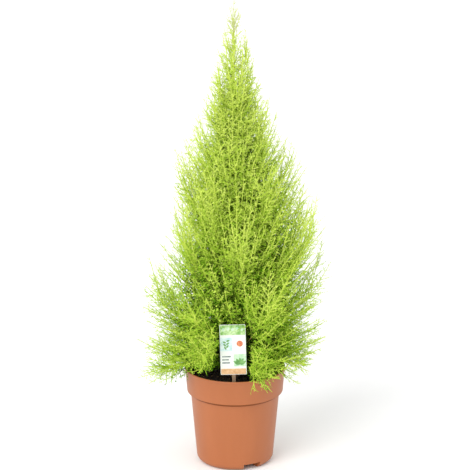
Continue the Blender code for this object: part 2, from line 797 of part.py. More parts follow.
def make_core(plume, index, space, chance):
    """The dense middle of a plume, drawn in wherever it would leave its space."""
    line = stem_line(plume)
    first = along(line, CORE_START - CORE_POINT_BEFORE)[0]
    last = along(line, CORE_END + CORE_POINT_AFTER)[0]
    vertices = [first]
    anchors = [first]
    for ring in range(CORE_RINGS):
        share = ring / (CORE_RINGS - 1)
        part = CORE_START + (CORE_END - CORE_START) * share
        centre, ahead = along(line, part)
        swell = math.sin(math.pi * np.interp(share, (0.0, 1.0), CORE_SWELL)) ** CORE_SWELL_POWER
        for corner in ring_points(np.zeros(3), ahead, 1.0, 2 * CORE_SIDES)[ring % 2::2]:
            wanted = half_width(plume, part) * CORE_WIDTH * swell * chance.uniform(*CORE_UNEVENNESS)
            vertices.append(centre + corner * fitted_radius(index, centre, corner, wanted, space))
            anchors.append(centre)
    vertices.append(last)
    anchors.append(last)
    faces = core_faces(len(vertices) - 1)
    draw_in(vertices, anchors, faces, index, space)
    return add_object("core", vertices, faces)


def core_faces(last):
    """Triangles of a core: a fan at each end and bands between its rings."""
    faces = []
    for step in range(CORE_SIDES):
        following = (step + 1) % CORE_SIDES
        faces.append([0, 1 + step, 1 + following])
        for ring in range(CORE_RINGS - 1):
            low = 1 + ring * CORE_SIDES
            high = low + CORE_SIDES
            near = step if ring % 2 == 0 else following
            faces.append([low + step, low + following, high + near])
            nearest_low = following if ring % 2 == 0 else step
            faces.append([low + nearest_low, high + step, high + following])
        high = 1 + (CORE_RINGS - 1) * CORE_SIDES
        faces.append([high + step, last, high + following])
    return faces


def draw_in(vertices, anchors, faces, index, space):
    """Pull a core's corners towards its middle until no face leaves the space."""
    for _round in range(DRAW_IN_ROUNDS):
        crossing = set()
        for face in faces:
            corners = np.array([vertices[corner] for corner in face])
            between = (corners + np.roll(corners, 1, axis=0)) / 2.0
            samples = np.vstack([corners, between, corners.mean(axis=0)])
            reach = np.linalg.norm(corners - [anchors[corner] for corner in face], axis=1).max()
            if reach > CORE_SLIM and not space.holds(index, samples):
                crossing.update(face)
        if not crossing:
            return
        for corner in crossing:
            vertices[corner] = anchors[corner] + (vertices[corner] - anchors[corner]) * DRAW_IN_SHARE


def fitted_radius(index, centre, outward, wanted, space):
    """The largest radius up to the wanted one that keeps to the plume's space."""
    radius = wanted
    while radius > CORE_LEAST:
        samples = centre + outward * np.linspace(0.25, 1.0, 5)[:, None] * radius
        if space.holds(index, samples) and in_crown(samples, CORE_REACH):
            return radius
        radius *= DRAW_IN_SHARE
    return CORE_LEAST


def spray_points(root, ahead, across, length):
    """Outline and ridge points of one toothed spray that tapers to its tip."""
    normal = np.cross(ahead, across)
    half = length * SPRAY_WIDTH_SHARE
    left = [root + ahead * length * reach + across * half * wide for reach, wide in SPRAY_TEETH_LEFT]
    right = [root + ahead * length * reach - across * half * wide for reach, wide in SPRAY_TEETH_RIGHT]
    outline = [root, *left, root + ahead * length, *right[::-1]]
    apex = root + ahead * length * SPRAY_APEX
    return outline, apex + normal * SPRAY_THICKNESS, apex - normal * SPRAY_THICKNESS


def make_spray(root, ahead, across, length):
    """A thin toothed blade with a ridge on both faces."""
    outline, over, under = spray_points(root, ahead, across, length)
    vertices = [*outline, over, under]
    count = len(outline)
    faces = []
    for step in range(count):
        following = (step + 1) % count
        faces.append([step, following, count])
        faces.append([following, step, count + 1])
    return add_object("spray", vertices, faces)


def plan_twigs(plume, chance):
    """Seeded rule for the twigs of a plume: each leaves the stem a golden angle on from the last."""
    twigs = []
    turn = chance.uniform(0.0, 9.0)
    phase = chance.uniform(0.0, 1.0)
    spread = math.radians(TWIG_SPREAD.get(plume["tier"], TWIG_SPREAD_ELSEWHERE))
    for number in range(TWIG_TRIES):
        part = TWIG_FIRST + (TWIG_LAST - TWIG_FIRST) * ((number * TWIG_SPACING + phase) % 1.0)
        root, ahead = along(stem_line(plume), part)
        side, up = outer_frame(root, ahead)
        angle = spread * (((number + turn) * GOLDEN_SHARE) % 1.0 - 0.5)
        outward = side * math.cos(angle) + up * math.sin(angle)
        lean = TWIG_LOW_ANGLE + (TWIG_HIGH_ANGLE - TWIG_LOW_ANGLE) * part
        direction = unit(ahead * math.cos(lean) + outward * math.sin(lean))
        length = half_width(plume, part) * TWIG_REACH / math.sin(lean)
        twigs.append({"root": root, "ahead": direction, "outward": outward, "length": length, "part": part})
    return twigs


def plan_sprays(plume, twig, chance):
    """Sprays on one twig: one that carries it on and one to each side."""
    across = unit(np.cross(twig["ahead"], twig["outward"]))
    roll = chance.uniform(-SPRAY_ROLL, SPRAY_ROLL)
    normal = np.cross(twig["ahead"], across)
    across = across * math.cos(roll) + normal * math.sin(roll)
    size = half_width(plume, twig["part"]) * SPRAY_LENGTH + SPRAY_LEAST
    sprays = []
    for reach, turn, share in SPRAYS_ON_TWIG:
        bend = SPRAY_ANGLE * turn * chance.uniform(*SPRAY_BEND_SPREAD)
        ahead = unit(twig["ahead"] * math.cos(bend) + across * math.sin(bend))
        root = twig["root"] + twig["ahead"] * twig["length"] * reach - ahead * SPRAY_SINK
        sprays.append((root, ahead, unit(across - ahead * across.dot(ahead)), size * share))
    return sprays


def fitted_spray(index, spray, space):
    """The spray at its full or a shorter length, or None where it has no room."""
    root, ahead, across, length = spray
    for shrink in SPRAY_SHRINKS:
        outline, over, under = spray_points(root, ahead, across, length * shrink)
        corners = np.array(outline)
        between = (corners[1:] + corners[:-1]) / 2.0
        middle = root + ahead * length * shrink * np.linspace(0.3, 0.95, 5)[:, None]
        if space.holds(index, np.vstack([corners[1:], between[1:], [over, under], middle])):
            return root, ahead, across, length * shrink
    return None


def fitted_twig(index, twig, space):
    """The twig at its full or a shorter length, or None where it has no room."""
    for shrink in TWIG_SHRINKS:
        reach = twig["length"] * shrink
        samples = twig["root"] + twig["ahead"] * reach * np.linspace(0.35, 1.05, 6)[:, None]
        if space.holds(index, samples):
            return {**twig, "length": reach}
    return None


def make_plume(plume, index, space, material):
    """One mass of foliage: stem, dense core, twigs and sprays in a single solid."""
    chance = random.Random(plume["seed"])
    parts = [make_core(plume, index, space, chance)]
    room = plume["sprays"]
    for planned in plan_twigs(plume, chance):
        twig = fitted_twig(index, planned, space)
        if twig is None or room <= 0:
            continue
        sprays = [fitted_spray(index, spray, space) for spray in plan_sprays(plume, twig, chance)]
        made = [make_spray(*spray) for spray in sprays if spray is not None]
        if made:
            end = twig["root"] + twig["ahead"] * twig["length"]
            parts.append(spike("twig", twig["root"], end, TWIG_RADIUS, TWIG_SIDES))
            parts += made
            room -= len(made)
    parts += tip_sprays(plume, index, space, chance)
    solid = make_stem(plume)
    solid.name = f"foliage_{plume['name']}"
    union(solid, parts)
    keep_largest_shell(solid)
    solid.data.name = solid.name
    solid.data.materials.clear()
    solid.data.materials.append(material)
    return solid


def tip_sprays(plume, index, space, chance):
    """The sprays that end the plume: one along its line and two beside it."""
    made = []
    size = plume["width"] * TIP_SPRAY_SHARE + SPRAY_LEAST
    tip, ahead = along(stem_line(plume), 1.0)
    side, up = cross_frame(ahead)
    turn = chance.uniform(0.0, math.pi)
    across = side * math.cos(turn) + up * math.sin(turn)
    for bend, back, share in SPRAYS_ON_TIP:
        direction = unit(ahead * math.cos(bend) + across * math.sin(bend))
        root = tip - ahead * size * back
        flat = unit(across - direction * across.dot(direction))
        spray = fitted_spray(index, (root, direction, flat, size * share), space)
        if spray is not None:
            made.append(make_spray(*spray))
    return made


def union(solid, parts):
    """Join the parts to the solid with one Boolean and remove them."""
    group = bpy.data.collections.new("parts of a plume")
    bpy.context.scene.collection.children.link(group)
    for part in parts:
        bpy.context.scene.collection.objects.unlink(part)
        group.objects.link(part)
    modifier = solid.modifiers.new("join", "BOOLEAN")
    modifier.operation = "UNION"
    modifier.solver = "EXACT"
    modifier.operand_type = "COLLECTION"
    modifier.collection = group
    apply_modifiers(solid)
    for part in parts:
        bpy.data.objects.remove(part, do_unlink=True)
    bpy.data.collections.remove(group)


def main():
    """Build the pot, the soil, the label, the limbs and every mass of foliage."""
    clear_scene()
    pot_material = make_material("pot_terracotta", (0.79, 0.50, 0.34), 0.45)
    soil_material = make_material("soil", (0.13, 0.11, 0.07), 0.95)
    bark_material = make_material("bark", (0.45, 0.30, 0.19), 0.85)
    foliage_material = make_material("foliage", (0.68, 0.80, 0.34), 0.70)
    label_material = make_material("label", (0.90, 0.91, 0.82), 0.35)
    make_pot(pot_material)
    make_soil(soil_material)
    label_plate("plant_label", label_outline(), CARD_THICKNESS, label_material)
    make_trunk(bark_material)
    plumes = plan_plumes()
    space = Space(plumes)
    for index, plume in enumerate(plumes):
        if plume["tier"] in BOUGH_TIERS:
            make_bough(plume, bark_material)
        make_plume(plume, index, space, foliage_material)


main()
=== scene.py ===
"""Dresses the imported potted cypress: bark, twigs, needles, moulded pot, peat and plant label.

The plumes follow the seeded rule of the part's solids, carried on to finer growth. Sizes are
in metres, heights are above the ground, and azimuths turn from +X towards +Y.
"""

import math
import random

import bmesh
import bpy
import numpy as np
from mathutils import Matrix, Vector


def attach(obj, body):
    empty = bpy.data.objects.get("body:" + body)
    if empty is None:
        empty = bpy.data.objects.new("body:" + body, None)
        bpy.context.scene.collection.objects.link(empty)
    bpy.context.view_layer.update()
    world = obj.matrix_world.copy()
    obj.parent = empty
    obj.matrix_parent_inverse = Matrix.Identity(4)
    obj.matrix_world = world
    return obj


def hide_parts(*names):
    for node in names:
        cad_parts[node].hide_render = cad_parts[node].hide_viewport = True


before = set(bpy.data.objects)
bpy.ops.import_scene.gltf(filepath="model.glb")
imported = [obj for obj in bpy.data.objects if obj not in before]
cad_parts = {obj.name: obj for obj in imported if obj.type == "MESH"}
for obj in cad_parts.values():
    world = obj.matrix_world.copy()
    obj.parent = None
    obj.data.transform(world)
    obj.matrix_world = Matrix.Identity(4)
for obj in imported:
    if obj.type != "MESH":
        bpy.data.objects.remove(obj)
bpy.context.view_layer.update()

# Pot.
POT_HEIGHT = 0.185
RIM_RADIUS = 0.095
COLLAR_HEIGHT = 0.0465
COLLAR_FOOT = POT_HEIGHT - COLLAR_HEIGHT
COLLAR_FOOT_RADIUS = 0.0907
SHOULDER_DROP = 0.005
SHOULDER = COLLAR_FOOT - SHOULDER_DROP
BODY_TOP_RADIUS = 0.0838
BODY_FOOT_RADIUS = 0.0730
FOOT_ROUNDING = 0.013
FOOT_STEPS = 9
POT_WALL = 0.002
POT_FLOOR_TOP = 0.016
POT_EDGE = 0.0011
LIP_DEPTH = 0.004
LIP_OVERHANG = 0.0008
LIP_SLOPE = 0.0006
FOOT_RING_INNER = 0.050
RECESS_HEIGHT = 0.013
RECESS_SLOPE = 0.002
HUB_RADIUS = 0.020
NOTCH_AZIMUTHS = (-63.0, 117.0)
NOTCH_HALF_WIDTH = 13.5
NOTCH_HEIGHT = 0.0125
NOTCH_INNER = 0.046
NOTCH_OUTER = 0.080
NOTCH_POINTS = 7
DRAIN_COUNT = 4
DRAIN_RADIUS = 0.005
DRAIN_CIRCLE = 0.036
DRAIN_SIDES = 24
CUTTER_MARGIN = 0.002
POT_SEGMENTS = 144
POT_SHARP_ANGLE = 40.0
ROUNDING_STEPS = 4
ROUNDING_LIMIT = 0.45

# Peat. Its hills are waves: how many radians to a metre, and how high.
SOIL_TOP = 0.168
SOIL_EDGE_DROP = 0.003
SOIL_SINK = 0.0012
SOIL_WAVES = ((60, 0.0008), (110, 0.0007), (190, 0.0006), (330, 0.0005), (520, 0.0004), (800, 0.0003))
SOIL_GRAIN = 0.00035
SOIL_EDGE_ROOM = 0.001
SOIL_EDGE_HEIGHT = 0.002
SOIL_FOOT_ROOM = 0.001
SOIL_INNER_RING = 0.003
SOIL_TOP_DEPTH = 0.0001
SOIL_SEED = 11
SOIL_SEGMENTS = 120
SOIL_RINGS = 56
TOUCH_GAP = 0.0003
SEAT_GAP = 0.0004
CRUMB_COUNT = 900
CRUMB_LEAST = 0.0005
CRUMB_RANGE = 0.0016
CRUMB_STRETCH = ((0.8, 2.6), (0.6, 1.1), (0.4, 0.9))
CRUMB_ROUGHNESS = (0.72, 1.2)
CRUMB_POWER = 2.2
CRUMB_LIFT = 0.3
CRUMB_EDGE_ROOM = 0.002
CRUMB_TRUNK_ROOM = 0.014
CRUMB_STEM_ROOM = (0.007, 0.004)
FIBRE_EACH = 5

# Plant label, and the room that the sprays leave for it.
CARD_WIDTH = 0.048
CARD_HEIGHT = 0.097
CARD_THICKNESS = 0.0012
CARD_CORNER = 0.0015
CARD_FOOT_HEIGHT = 0.194
CARD_EDGE = 0.00025
CARD_CORNER_STEPS = 6
STEM_WIDTH = 0.0065
STEM_FOOT = SOIL_TOP - 0.024
STEM_POINT_HALF_WIDTH = 0.0015
STEM_POINT_LENGTH = 0.008
STEM_BEHIND_CARD = 0.003
STEM_THICKNESS_SHARE = 0.92
RIB_HALF_WIDTH = 0.0011
RIB_FOOT_RISE = 0.01
RIB_TOP_DROP = 0.001
RIB_THICKNESS_SHARE = 1.5
PRINT_INSET = 0.0009
PRINT_LIFT = 0.00006
DISC_SIDES = 28
LEAF_STEPS = 8
LEAF_WIDTH_SHARE = 0.22
LEAF_BULGE = 0.8
LABEL_X = -0.0015
LABEL_Y = -0.0765
LABEL_TILT = math.radians(1.6)
LABEL_ZONE_SIDE = 0.0270
LABEL_STEM_SIDE = 0.012
LABEL_STEM_TOP = CARD_FOOT_HEIGHT - 0.005
LABEL_ROOM = 0.10
LABEL_ROOM_LIMIT = 0.1
LABEL_ZONE_TOP = 0.2945
LABEL_ZONE_BACK = -0.0740
# An open gap at the front: its sides, where it begins in Y and its top.
FRONT_GAP = (-0.060, -0.012, -0.050, 0.205)

# Trunk.
TRUNK_FOOT_RADIUS = 0.0062
TRUNK_TIP_RADIUS = 0.0013
TRUNK_TIP_HEIGHT = 0.765
TRUNK_FLARE = 0.0050
TRUNK_FLARE_HEIGHT = 0.012
TRUNK_LEAN = 0.0015
TRUNK_BEND_X = 0.0035
TRUNK_BEND_Y = 0.0021
TRUNK_WAVE_X = 1.7 * math.pi
TRUNK_WAVE_Y = 2.3 * math.pi
TRUNK_PHASE_Y = 0.5
TRUNK_RINGS = 11
TRUNK_RING_POWER = 1.5
TRUNK_SIDES = 8

# Crown: rows of a height with its reach to the left and to the right of the trunk there.
CROWN_TOP = 0.876
CROWN_PROFILE = (
    (0.130, 0.100, 0.100),
    (0.150, 0.168, 0.125),
    (0.180, 0.178, 0.132),
    (0.205, 0.170, 0.146),
    (0.240, 0.158, 0.160),
    (0.295, 0.165, 0.166),
    (0.334, 0.174, 0.168),
    (0.375, 0.162, 0.168),
    (0.431, 0.128, 0.158),
    (0.489, 0.115, 0.145),
    (0.545, 0.110, 0.132),
    (0.602, 0.100, 0.110),
    (0.640, 0.079, 0.077),
    (0.690, 0.057, 0.057),
    (0.750, 0.034, 0.033),
    (0.800, 0.022, 0.021),
    (0.876, 0.003, 0.003),
)

# Tiers of plumes from the lowest up: name, plumes, foot height, tip height, arch of the
# plume's line, azimuth of the first one, half width of a plume, seed.
TIERS = (
    ("skirt", 7, 0.197, 0.212, 0.13, -116.0, 0.060, 294398),
    ("low", 6, 0.214, 0.346, -0.08, -60.0, 0.084, 201),
    ("middle", 6, 0.262, 0.454, -0.15, -88.0, 0.086, 202),
    ("high", 5, 0.352, 0.566, -0.16, -50.0, 0.080, 203),
    ("shoulder", 5, 0.455, 0.655, -0.14, -98.0, 0.070, 204),
    ("upper", 4, 0.560, 0.735, -0.10, -75.0, 0.052, 205),
    ("crown", 3, 0.650, 0.805, -0.06, -130.0, 0.036, 206),
)

# How far a plume's own numbers may stray from those of its tier.
AZIMUTH_SPREAD = 7.0
TIP_SPREAD = {"skirt": 0.035}
TIP_SPREAD_ELSEWHERE = 0.022
FOOT_SPREAD = (-0.004, 0.014)
REACH_SPREAD = (0.93, 1.0)
ARCH_SPREAD = 0.03

# Limbs. A plume of the lowest tiers has a bough for the first share of its line.
BOUGH_TIERS = ("skirt", "low")
BOUGH_SHARE = 0.18
BOUGH_FOOT_RADIUS = 0.0026
BOUGH_TIP_RADIUS = 0.0018
BOUGH_RINGS = 4
BOUGH_SIDES = 5
LEADER_HALF_WIDTH = 0.021
LEADER_LEAN = -0.001
SEATING_ROUNDS = 4
STEM_FOOT_RADIUS = 0.0016
STEM_SIDES = 3
STEM_RINGS = 6
PATH_POINTS = 15
GOLDEN_SHARE = 0.618

# Width of a plume along its line, and the angle over which its shoots spread, in degrees.
TAPER_START = 1.10
TAPER_POWER = 0.60
TWIG_SPREAD = {"skirt": 320.0, "low": 300.0, "middle": 320.0, "leader": 360.0}
TWIG_SPREAD_ELSEWHERE = 240.0

# Room round the pot's rim and the limbs.
RIM_MARGIN = 0.003
LIMB_MARGIN = 0.0007
STEADY_GUIDE = (0.31, -0.95, 0.02)
UP = np.array((0.0, 0.0, 1.0))

# How many times the profile's reach sprays may take at several heights, left and right.
LEFT_SLACK = (
    (0.20, 0.26, 0.30, 0.34, 0.38, 0.42, 0.438, 0.455, 0.50, 0.52, 0.60, 0.70),
    (1.04, 1.12, 1.14, 1.04, 0.98, 1.14, 1.16, 1.01, 1.03, 1.12, 1.06, 1.09),
)
RIGHT_SLACK = (
    (0.20, 0.26, 0.30, 0.34, 0.38, 0.42, 0.52, 0.60, 0.66, 0.69, 0.72, 0.75),
    (1.04, 1.12, 1.14, 1.04, 0.98, 1.12, 1.12, 1.06, 1.08, 1.18, 1.20, 1.09),
)
# Each shoot may reach a share of that, and a few wisps go further.
SLACK_RANGE = (0.90, 1.02)
WISP_SHARE = 0.06
WISP_REACH = 0.11
TIP_ROOM = 0.05
SIDE_ROOM = 0.03
WIDEST_SPRAY = 0.184
LOWEST_SPRAY = 0.163
CROWN_FRINGE = 0.006
OVERLAP = 0.032
FIRST_SAMPLE = 0.3
SHORTEST_SHARE = 0.01
POINTS_AT_ONCE = 20000

# Shoots on a plume's stem.
FOLIAGE_SEED = 71
SHOOT_SPACING = 0.0012
SHOOT_START = 0.06
SHOOT_OVERLAP = 0.05
SHOOT_REACH = 1.05
SHOOT_LENGTHS = (0.55, 1.25)
SHOOT_LIMIT = 1.9
SHOOT_LEAST = 0.022
SHOOT_SAMPLES = 10
SHOOT_STRAY = 0.12
SHOOT_LOW_ANGLE = math.radians(42.0)
SHOOT_HIGH_ANGLE = math.radians(17.0)
SHOOT_LEANS = (0.75, 1.15)

# How much shoots turn upward at their start, by tier, and bend upward and onward from there.
SHOOT_LIFT = {"skirt": 0.08, "low": 0.45, "upper": 0.45, "crown": 0.15, "leader": 0.0}
SHOOT_LIFT_ELSEWHERE = 0.85
SHOOT_LIFTS = (0.5, 1.3)
SHOOT_RISE = {"skirt": 0.06, "low": 0.32, "upper": 0.30, "crown": 0.15, "leader": 0.05}
SHOOT_RISE_ELSEWHERE = 0.45
SHOOT_ONWARD = 0.10
SHOOT_BEND = 0.08

# Near the plume's foot shoots stand all round its stem.
ALL_ROUND_SHARE = 0.35
PHASE_RANGE = 9.0
GUIDE_RISE = 0.04

# Shoots on the trunk and the outer part of each plume's stem. Their place tells them apart.
TRUNK_SHOOTS = 2200
TRUNK_SHOOT_POWER = 1.6
TRUNK_SHOOT_SLOPES = ((0.20, 0.26, 0.36, 0.60, 0.76), (0.25, 0.85, 1.45, 1.35, 0.9))
TRUNK_SHOOT_SPREAD = (0.6, 1.4)
TRUNK_SHOOT_REACH = (0.55, 1.08)
TRUNK_SHOOT_RISE = 0.35
TRUNK_SHOOT_BEND = 0.04
TRUNK_SHOOT_STRAY = 0.30
REACH_ROUNDS = 6
TRUNK_SHOOT_PLACE = 0.4
OWNER_PLACE = 0.7
STEM_TIP_PLACE = 1.0
STEM_TIP_START = {"leader": 0.1, "crown": 0.5}
STEM_TIP_START_ELSEWHERE = 0.65

# Least distance between the tips of shoots near the surface and deep inside. Narrow plumes,
# low places and each height take a share of it.
SHOOT_CROWDING = 0.0176
DEEP_CROWDING = 0.0258
LEAST_CROWDING = 0.62
LOW_CROWDING = 1.6
CROWDING_BY_HEIGHT = ((0.30, 0.37, 0.58, 0.70, 0.80), (1.16, 1.0, 1.0, 1.1, 1.15))

# How far inside the crown is deep.
DEEP = 0.052

# Side twigs on a shoot and twiglets on a side twig. A twig's length is a share of its
# bearer's, up to the longest, and tapers to the bearer's tip. It is less near the bearer's
# foot, where it starts at one share and grows at a rate. Leans are in degrees.
SIDES = {
    "spacing": 0.0056, "leans": (58.0, 46.0), "least": 0.005, "samples": 3,
    "share": 0.40, "longest": 0.034, "end": 1.02, "power": 0.75, "foot": (0.55, 2.5), "extra": 0.004,
}
TWIGLETS = {
    "spacing": 0.0065, "leans": (48.0, 34.0), "least": 0.003, "samples": 2,
    "share": 0.42, "longest": 0.0075, "end": 1.05, "power": 0.6, "foot": (1.0, 0.0), "extra": 0.002,
}
TWIGLET_BEARER = 0.0150
BEARING_LENGTH = 0.86
BEARING_START = 0.10
BEARING_EXTENT = 0.88
PLACE_STRAY = 0.8
SPRAY_TURN = 1.4
SPRAY_STRAY = 0.65
SIDE_LEANS = (0.75, 1.20)
SIDE_LENGTHS = (0.40, 1.25)
SIDE_ONWARD = 0.08
SIDE_BEND = 0.05

# Needles: folded kites of two faces. Deep inside they are fewer and larger.
NEEDLE_SPACING = 0.0028
NEEDLE_LENGTH = 0.0028
NEEDLE_WIDTH_SHARE = 0.52
NEEDLE_WIDEST = 0.40
NEEDLE_FOLD = 0.5
NEEDLE_LEAN = 31.0
NEEDLE_LEAN_DROP = 12.0
NEEDLE_LEANS = (0.8, 1.2)
NEEDLE_LENGTHS = (0.75, 1.15)
NEEDLE_SHORTENING = 0.35
NEEDLE_FIRST = 0.75
NEEDLE_SHIFT = 0.2
NEEDLE_TURN = 1.2
NEEDLE_STRAY = 0.25
NEEDLE_TILT = 1.1
DEEP_SCALE = 2.0
OUTWARD_RISE = 0.5

# Where the needles start on a shoot, and the spacing, length and added tone of the needles on
# shoots, side twigs and twiglets.
NEEDLES_START = 0.3
SPRAY_SETS = (
    (NEEDLE_SPACING, NEEDLE_LENGTH, -1.5),
    (NEEDLE_SPACING, NEEDLE_LENGTH, 0.2),
    (NEEDLE_SPACING * 1.05, NEEDLE_LENGTH * 0.9, 0.6),
)

# Twigs of shoots, side twigs and twiglets. Each part of a shoot takes its own colour, by how
# deep in the crown it is: old and green beyond these depths, young nearer to the surface.
TWIG_SIDES = 3
SHOOT_FOOT_RADIUS = 0.0006
SHOOT_THICKENING = 0.005
SHOOT_TIP_RADIUS = 0.0004
SHOOT_PARTS = (0.12, 0.38, 0.62, 0.88)
SHOOT_TONE_DEPTHS = (0.070, 0.035)
SIDE_RADIUS = 0.0006
TWIGLET_RADIUS = 0.0004
SIDE_TONE_DEPTHS = (0.07, 0.03)

# Bark of trunk, boughs and stems: rings, sides and relief, and how far the foot sinks in.
BARK_SEED = 5
TRUNK_BARK_RINGS = 150
TRUNK_BARK_POWER = 1.2
TRUNK_BARK_SIDES = 24
TRUNK_BARK_SCALE = 0.99
TRUNK_SINK = 0.002
BARK_RELIEF = 0.05
BOUGH_BARK_RINGS = 14
BOUGH_BARK_SIDES = 10
BOUGH_RELIEF = 0.06
BOUGH_PAST = 0.02
BOUGH_SINK = 0.0012
STEM_BARK_RINGS = 26
STEM_BARK_SIDES = 6
STEM_END_RADIUS = 0.0004
STEM_SINK = 0.0010
YOUNG_STEM_SHARE = 0.45
RIDGE_WAVES = 9
RIDGE_TWIST = 1.6
RIDGE_RATES = (1.0, 9.0)
RIDGE_GRAIN = 0.25
RIDGE_WINDING = 6.0
RIDGE_STEADY = 0.6
RIDGE_FADING = 0.4
RIDGE_SOFTENING = 3.0

# About a full turn, for waves that start anywhere.
PHASE_TURN = 6.3

# A spray's tone is its place in the row of colours below, 0 for the palest.
SURFACE_TONE = 1.35
DEEP_TONE = 1.9
DEEP_TONE_POWER = 1.25
TONE_DEPTH = 0.084
TONE_DEPTH_LIMIT = 1.3
TONE_PLACE = 0.6
TONE_BY_HEIGHT = (
    (0.20, 0.30, 0.42, 0.55, 0.66, 0.76, 0.876),
    (2.0, 1.2, 0.1, -1.0, -2.0, -0.6, 1.4),
)

# Sprays that hang in front of the pot's rim are darker.
HANGING_TONE = 0.8
HANGING_TOP = POT_HEIGHT + 0.015
HANGING_BACK = -0.06

# Spread of tones among shoots and sprays, the palest tone low down and the share of grey sprays.
SHOOT_TONES = 1.0
SPRAY_TONES = 1.15
PALEST_BY_HEIGHT = ((0.24, 0.42), (1.6, 0.0))
GREY_BY_HEIGHT = ((0.70, 0.79, 0.86), (0.0, 0.45, 0.75))
GREY_TWIG_HEIGHT = 0.82
YOUNG_BARK_HEIGHT = 0.60

# Values that several materials share.
PLAIN_ROUGHNESS = 0.6
WOOD_ROUGHNESS = 0.8
PLAIN_SHINE = 0.15
GRAIN_MIXING = 0.62
RELIEF_DETAIL = 4.0
RELIEF_DEPTH = 0.001

# Colours as the eye sees them, the palest spray first.
NEEDLE_COLOURS = {
    "needles_palest": (0.86, 0.92, 0.48),
    "needles_lime": (0.83, 0.91, 0.42),
    "needles_bright": (0.80, 0.89, 0.36),
    "needles_fresh": (0.74, 0.86, 0.30),
    "needles_mid": (0.66, 0.81, 0.22),
    "needles_green": (0.56, 0.74, 0.15),
    "needles_deep": (0.40, 0.60, 0.08),
    "needles_dark": (0.26, 0.44, 0.05),
}
TIP_GREY = (0.80, 0.82, 0.56)
YOUNG_TWIG = (0.80, 0.87, 0.36)
GREEN_TWIG = (0.70, 0.80, 0.26)
OLD_TWIG = (0.42, 0.50, 0.15)
YOUNG_BARK = (0.56, 0.60, 0.24)
TWIG_COLOURS = (
    ("twig_young", YOUNG_TWIG, PLAIN_ROUGHNESS),
    ("twig_green", GREEN_TWIG, PLAIN_ROUGHNESS),
    ("twig_old", OLD_TWIG, WOOD_ROUGHNESS),
    ("twig_grey", TIP_GREY, PLAIN_ROUGHNESS),
)
# Painted shade: a darker terracotta for the slope under the pot's collar, where the collar's shadow falls.
PAINTED_SHADE_PLASTIC = (0.50, 0.27, 0.13)
PRINT_COLOURS = {
    "print_green": ((0.50, 0.72, 0.34), (0.84, 0.93, 0.72)),
    "print_mint": ((0.66, 0.84, 0.66), (0.86, 0.94, 0.84)),
    "print_leaf": ((0.36, 0.58, 0.30), (0.52, 0.72, 0.42)),
    "print_peach": ((0.84, 0.64, 0.44), (0.92, 0.76, 0.58)),
    "print_orange": ((0.80, 0.38, 0.24), (0.90, 0.58, 0.42)),
    "print_grey": ((0.40, 0.45, 0.46), (0.60, 0.64, 0.64)),
    "print_sky": ((0.74, 0.88, 0.89), (0.90, 0.96, 0.96)),
}

# Materials with a grain: colours with their places on the noise, fineness and stretch of the
# grain, least and greatest roughness, strength and fineness of the relief, detail.
GRAINS = {
    "terracotta_plastic": (
        ((0.30, (0.628, 0.355, 0.188)), (0.52, (0.643, 0.367, 0.197)), (0.75, (0.663, 0.382, 0.210))),
        14.0, (1.0, 1.0, 0.35), (0.36, 0.50), 0.10, 1500.0, 3.0),
    "peat": (
        ((0.32, (0.075, 0.057, 0.040)), (0.55, (0.185, 0.135, 0.092)), (0.78, (0.36, 0.27, 0.18))),
        260.0, (1.0, 1.0, 1.0), (0.85, 1.0), 1.0, 700.0, 6.0),
    "peat_fibre": (
        ((0.3, (0.34, 0.24, 0.15)), (0.7, (0.58, 0.44, 0.30))),
        300.0, (1.0, 1.0, 1.0), (0.8, 1.0), 0.8, 900.0, 6.0),
    "label_card": (
        ((0.3, (0.94, 0.96, 0.94)), (0.7, (0.96, 0.97, 0.96))),
        30.0, (1.0, 1.0, 1.0), (0.22, 0.30), 0.03, 900.0, 6.0),
    "label_stem": (
        ((0.3, (0.56, 0.46, 0.37)), (0.7, (0.64, 0.54, 0.44))),
        60.0, (1.0, 1.0, 0.3), (0.3, 0.4), 0.05, 900.0, 6.0),
    "bark": (
        ((0.25, (0.30, 0.20, 0.13)), (0.5, (0.50, 0.35, 0.23)), (0.78, (0.66, 0.54, 0.40))),
        420.0, (1.0, 1.0, 0.18), (0.75, 0.95), 0.9, 900.0, 6.0),
    "stem_bark": (
        ((0.3, (0.50, 0.36, 0.22)), (0.7, (0.62, 0.60, 0.30))),
        300.0, (1.0, 1.0, 0.3), (0.7, 0.9), 0.5, 800.0, 6.0),
    "floor": (
        ((0.3, (0.93, 0.93, 0.93)), (0.7, (0.94, 0.94, 0.94))),
        3.0, (1.0, 1.0, 1.0), (0.7, 0.8), 0.0, 50.0, 6.0),
}
PRINT_GRAIN = (150.0, (1.0, 1.0, 1.0), (0.22, 0.32), 0.02, 900.0, 6.0)

# Stage: the camera stands where the photo's pot rim, collar and foot put it.
FLOOR_HALF = 9.0
CAMERA_PLACE = (0.0, -3.2, 1.288)
CAMERA_PITCH = 14.83
CAMERA_LENS = 136.62
CAMERA_SENSOR = 36.0
LIGHTS = (("key", (-1.6, -2.2, 2.0), 2.1, 40.0), ("fill", (1.9, -1.6, 1.5), 0.4, 70.0))


def linear(colour):
    """A colour as the eye sees it, turned into light values."""
    return [((value + 0.055) / 1.055) ** 2.4 for value in colour] + [1.0]


def set_inputs(node, **values):
    """Set a node's inputs; an underscore in a name stands for a space."""
    for name, value in values.items():
        node.inputs[name.replace("_", " ")].default_value = value
    return node


def new_material(name):
    """A material, its node tree and its shader."""
    material = bpy.data.materials.new(name)
    material.use_nodes = True
    return material, material.node_tree, material.node_tree.nodes["Principled BSDF"]


def plain_material(name, colour, roughness=PLAIN_ROUGHNESS):
    """One even colour."""
    material, _tree, shader = new_material(name)
    set_inputs(shader, Base_Color=linear(colour), Roughness=roughness, Specular_IOR_Level=PLAIN_SHINE)
    return material


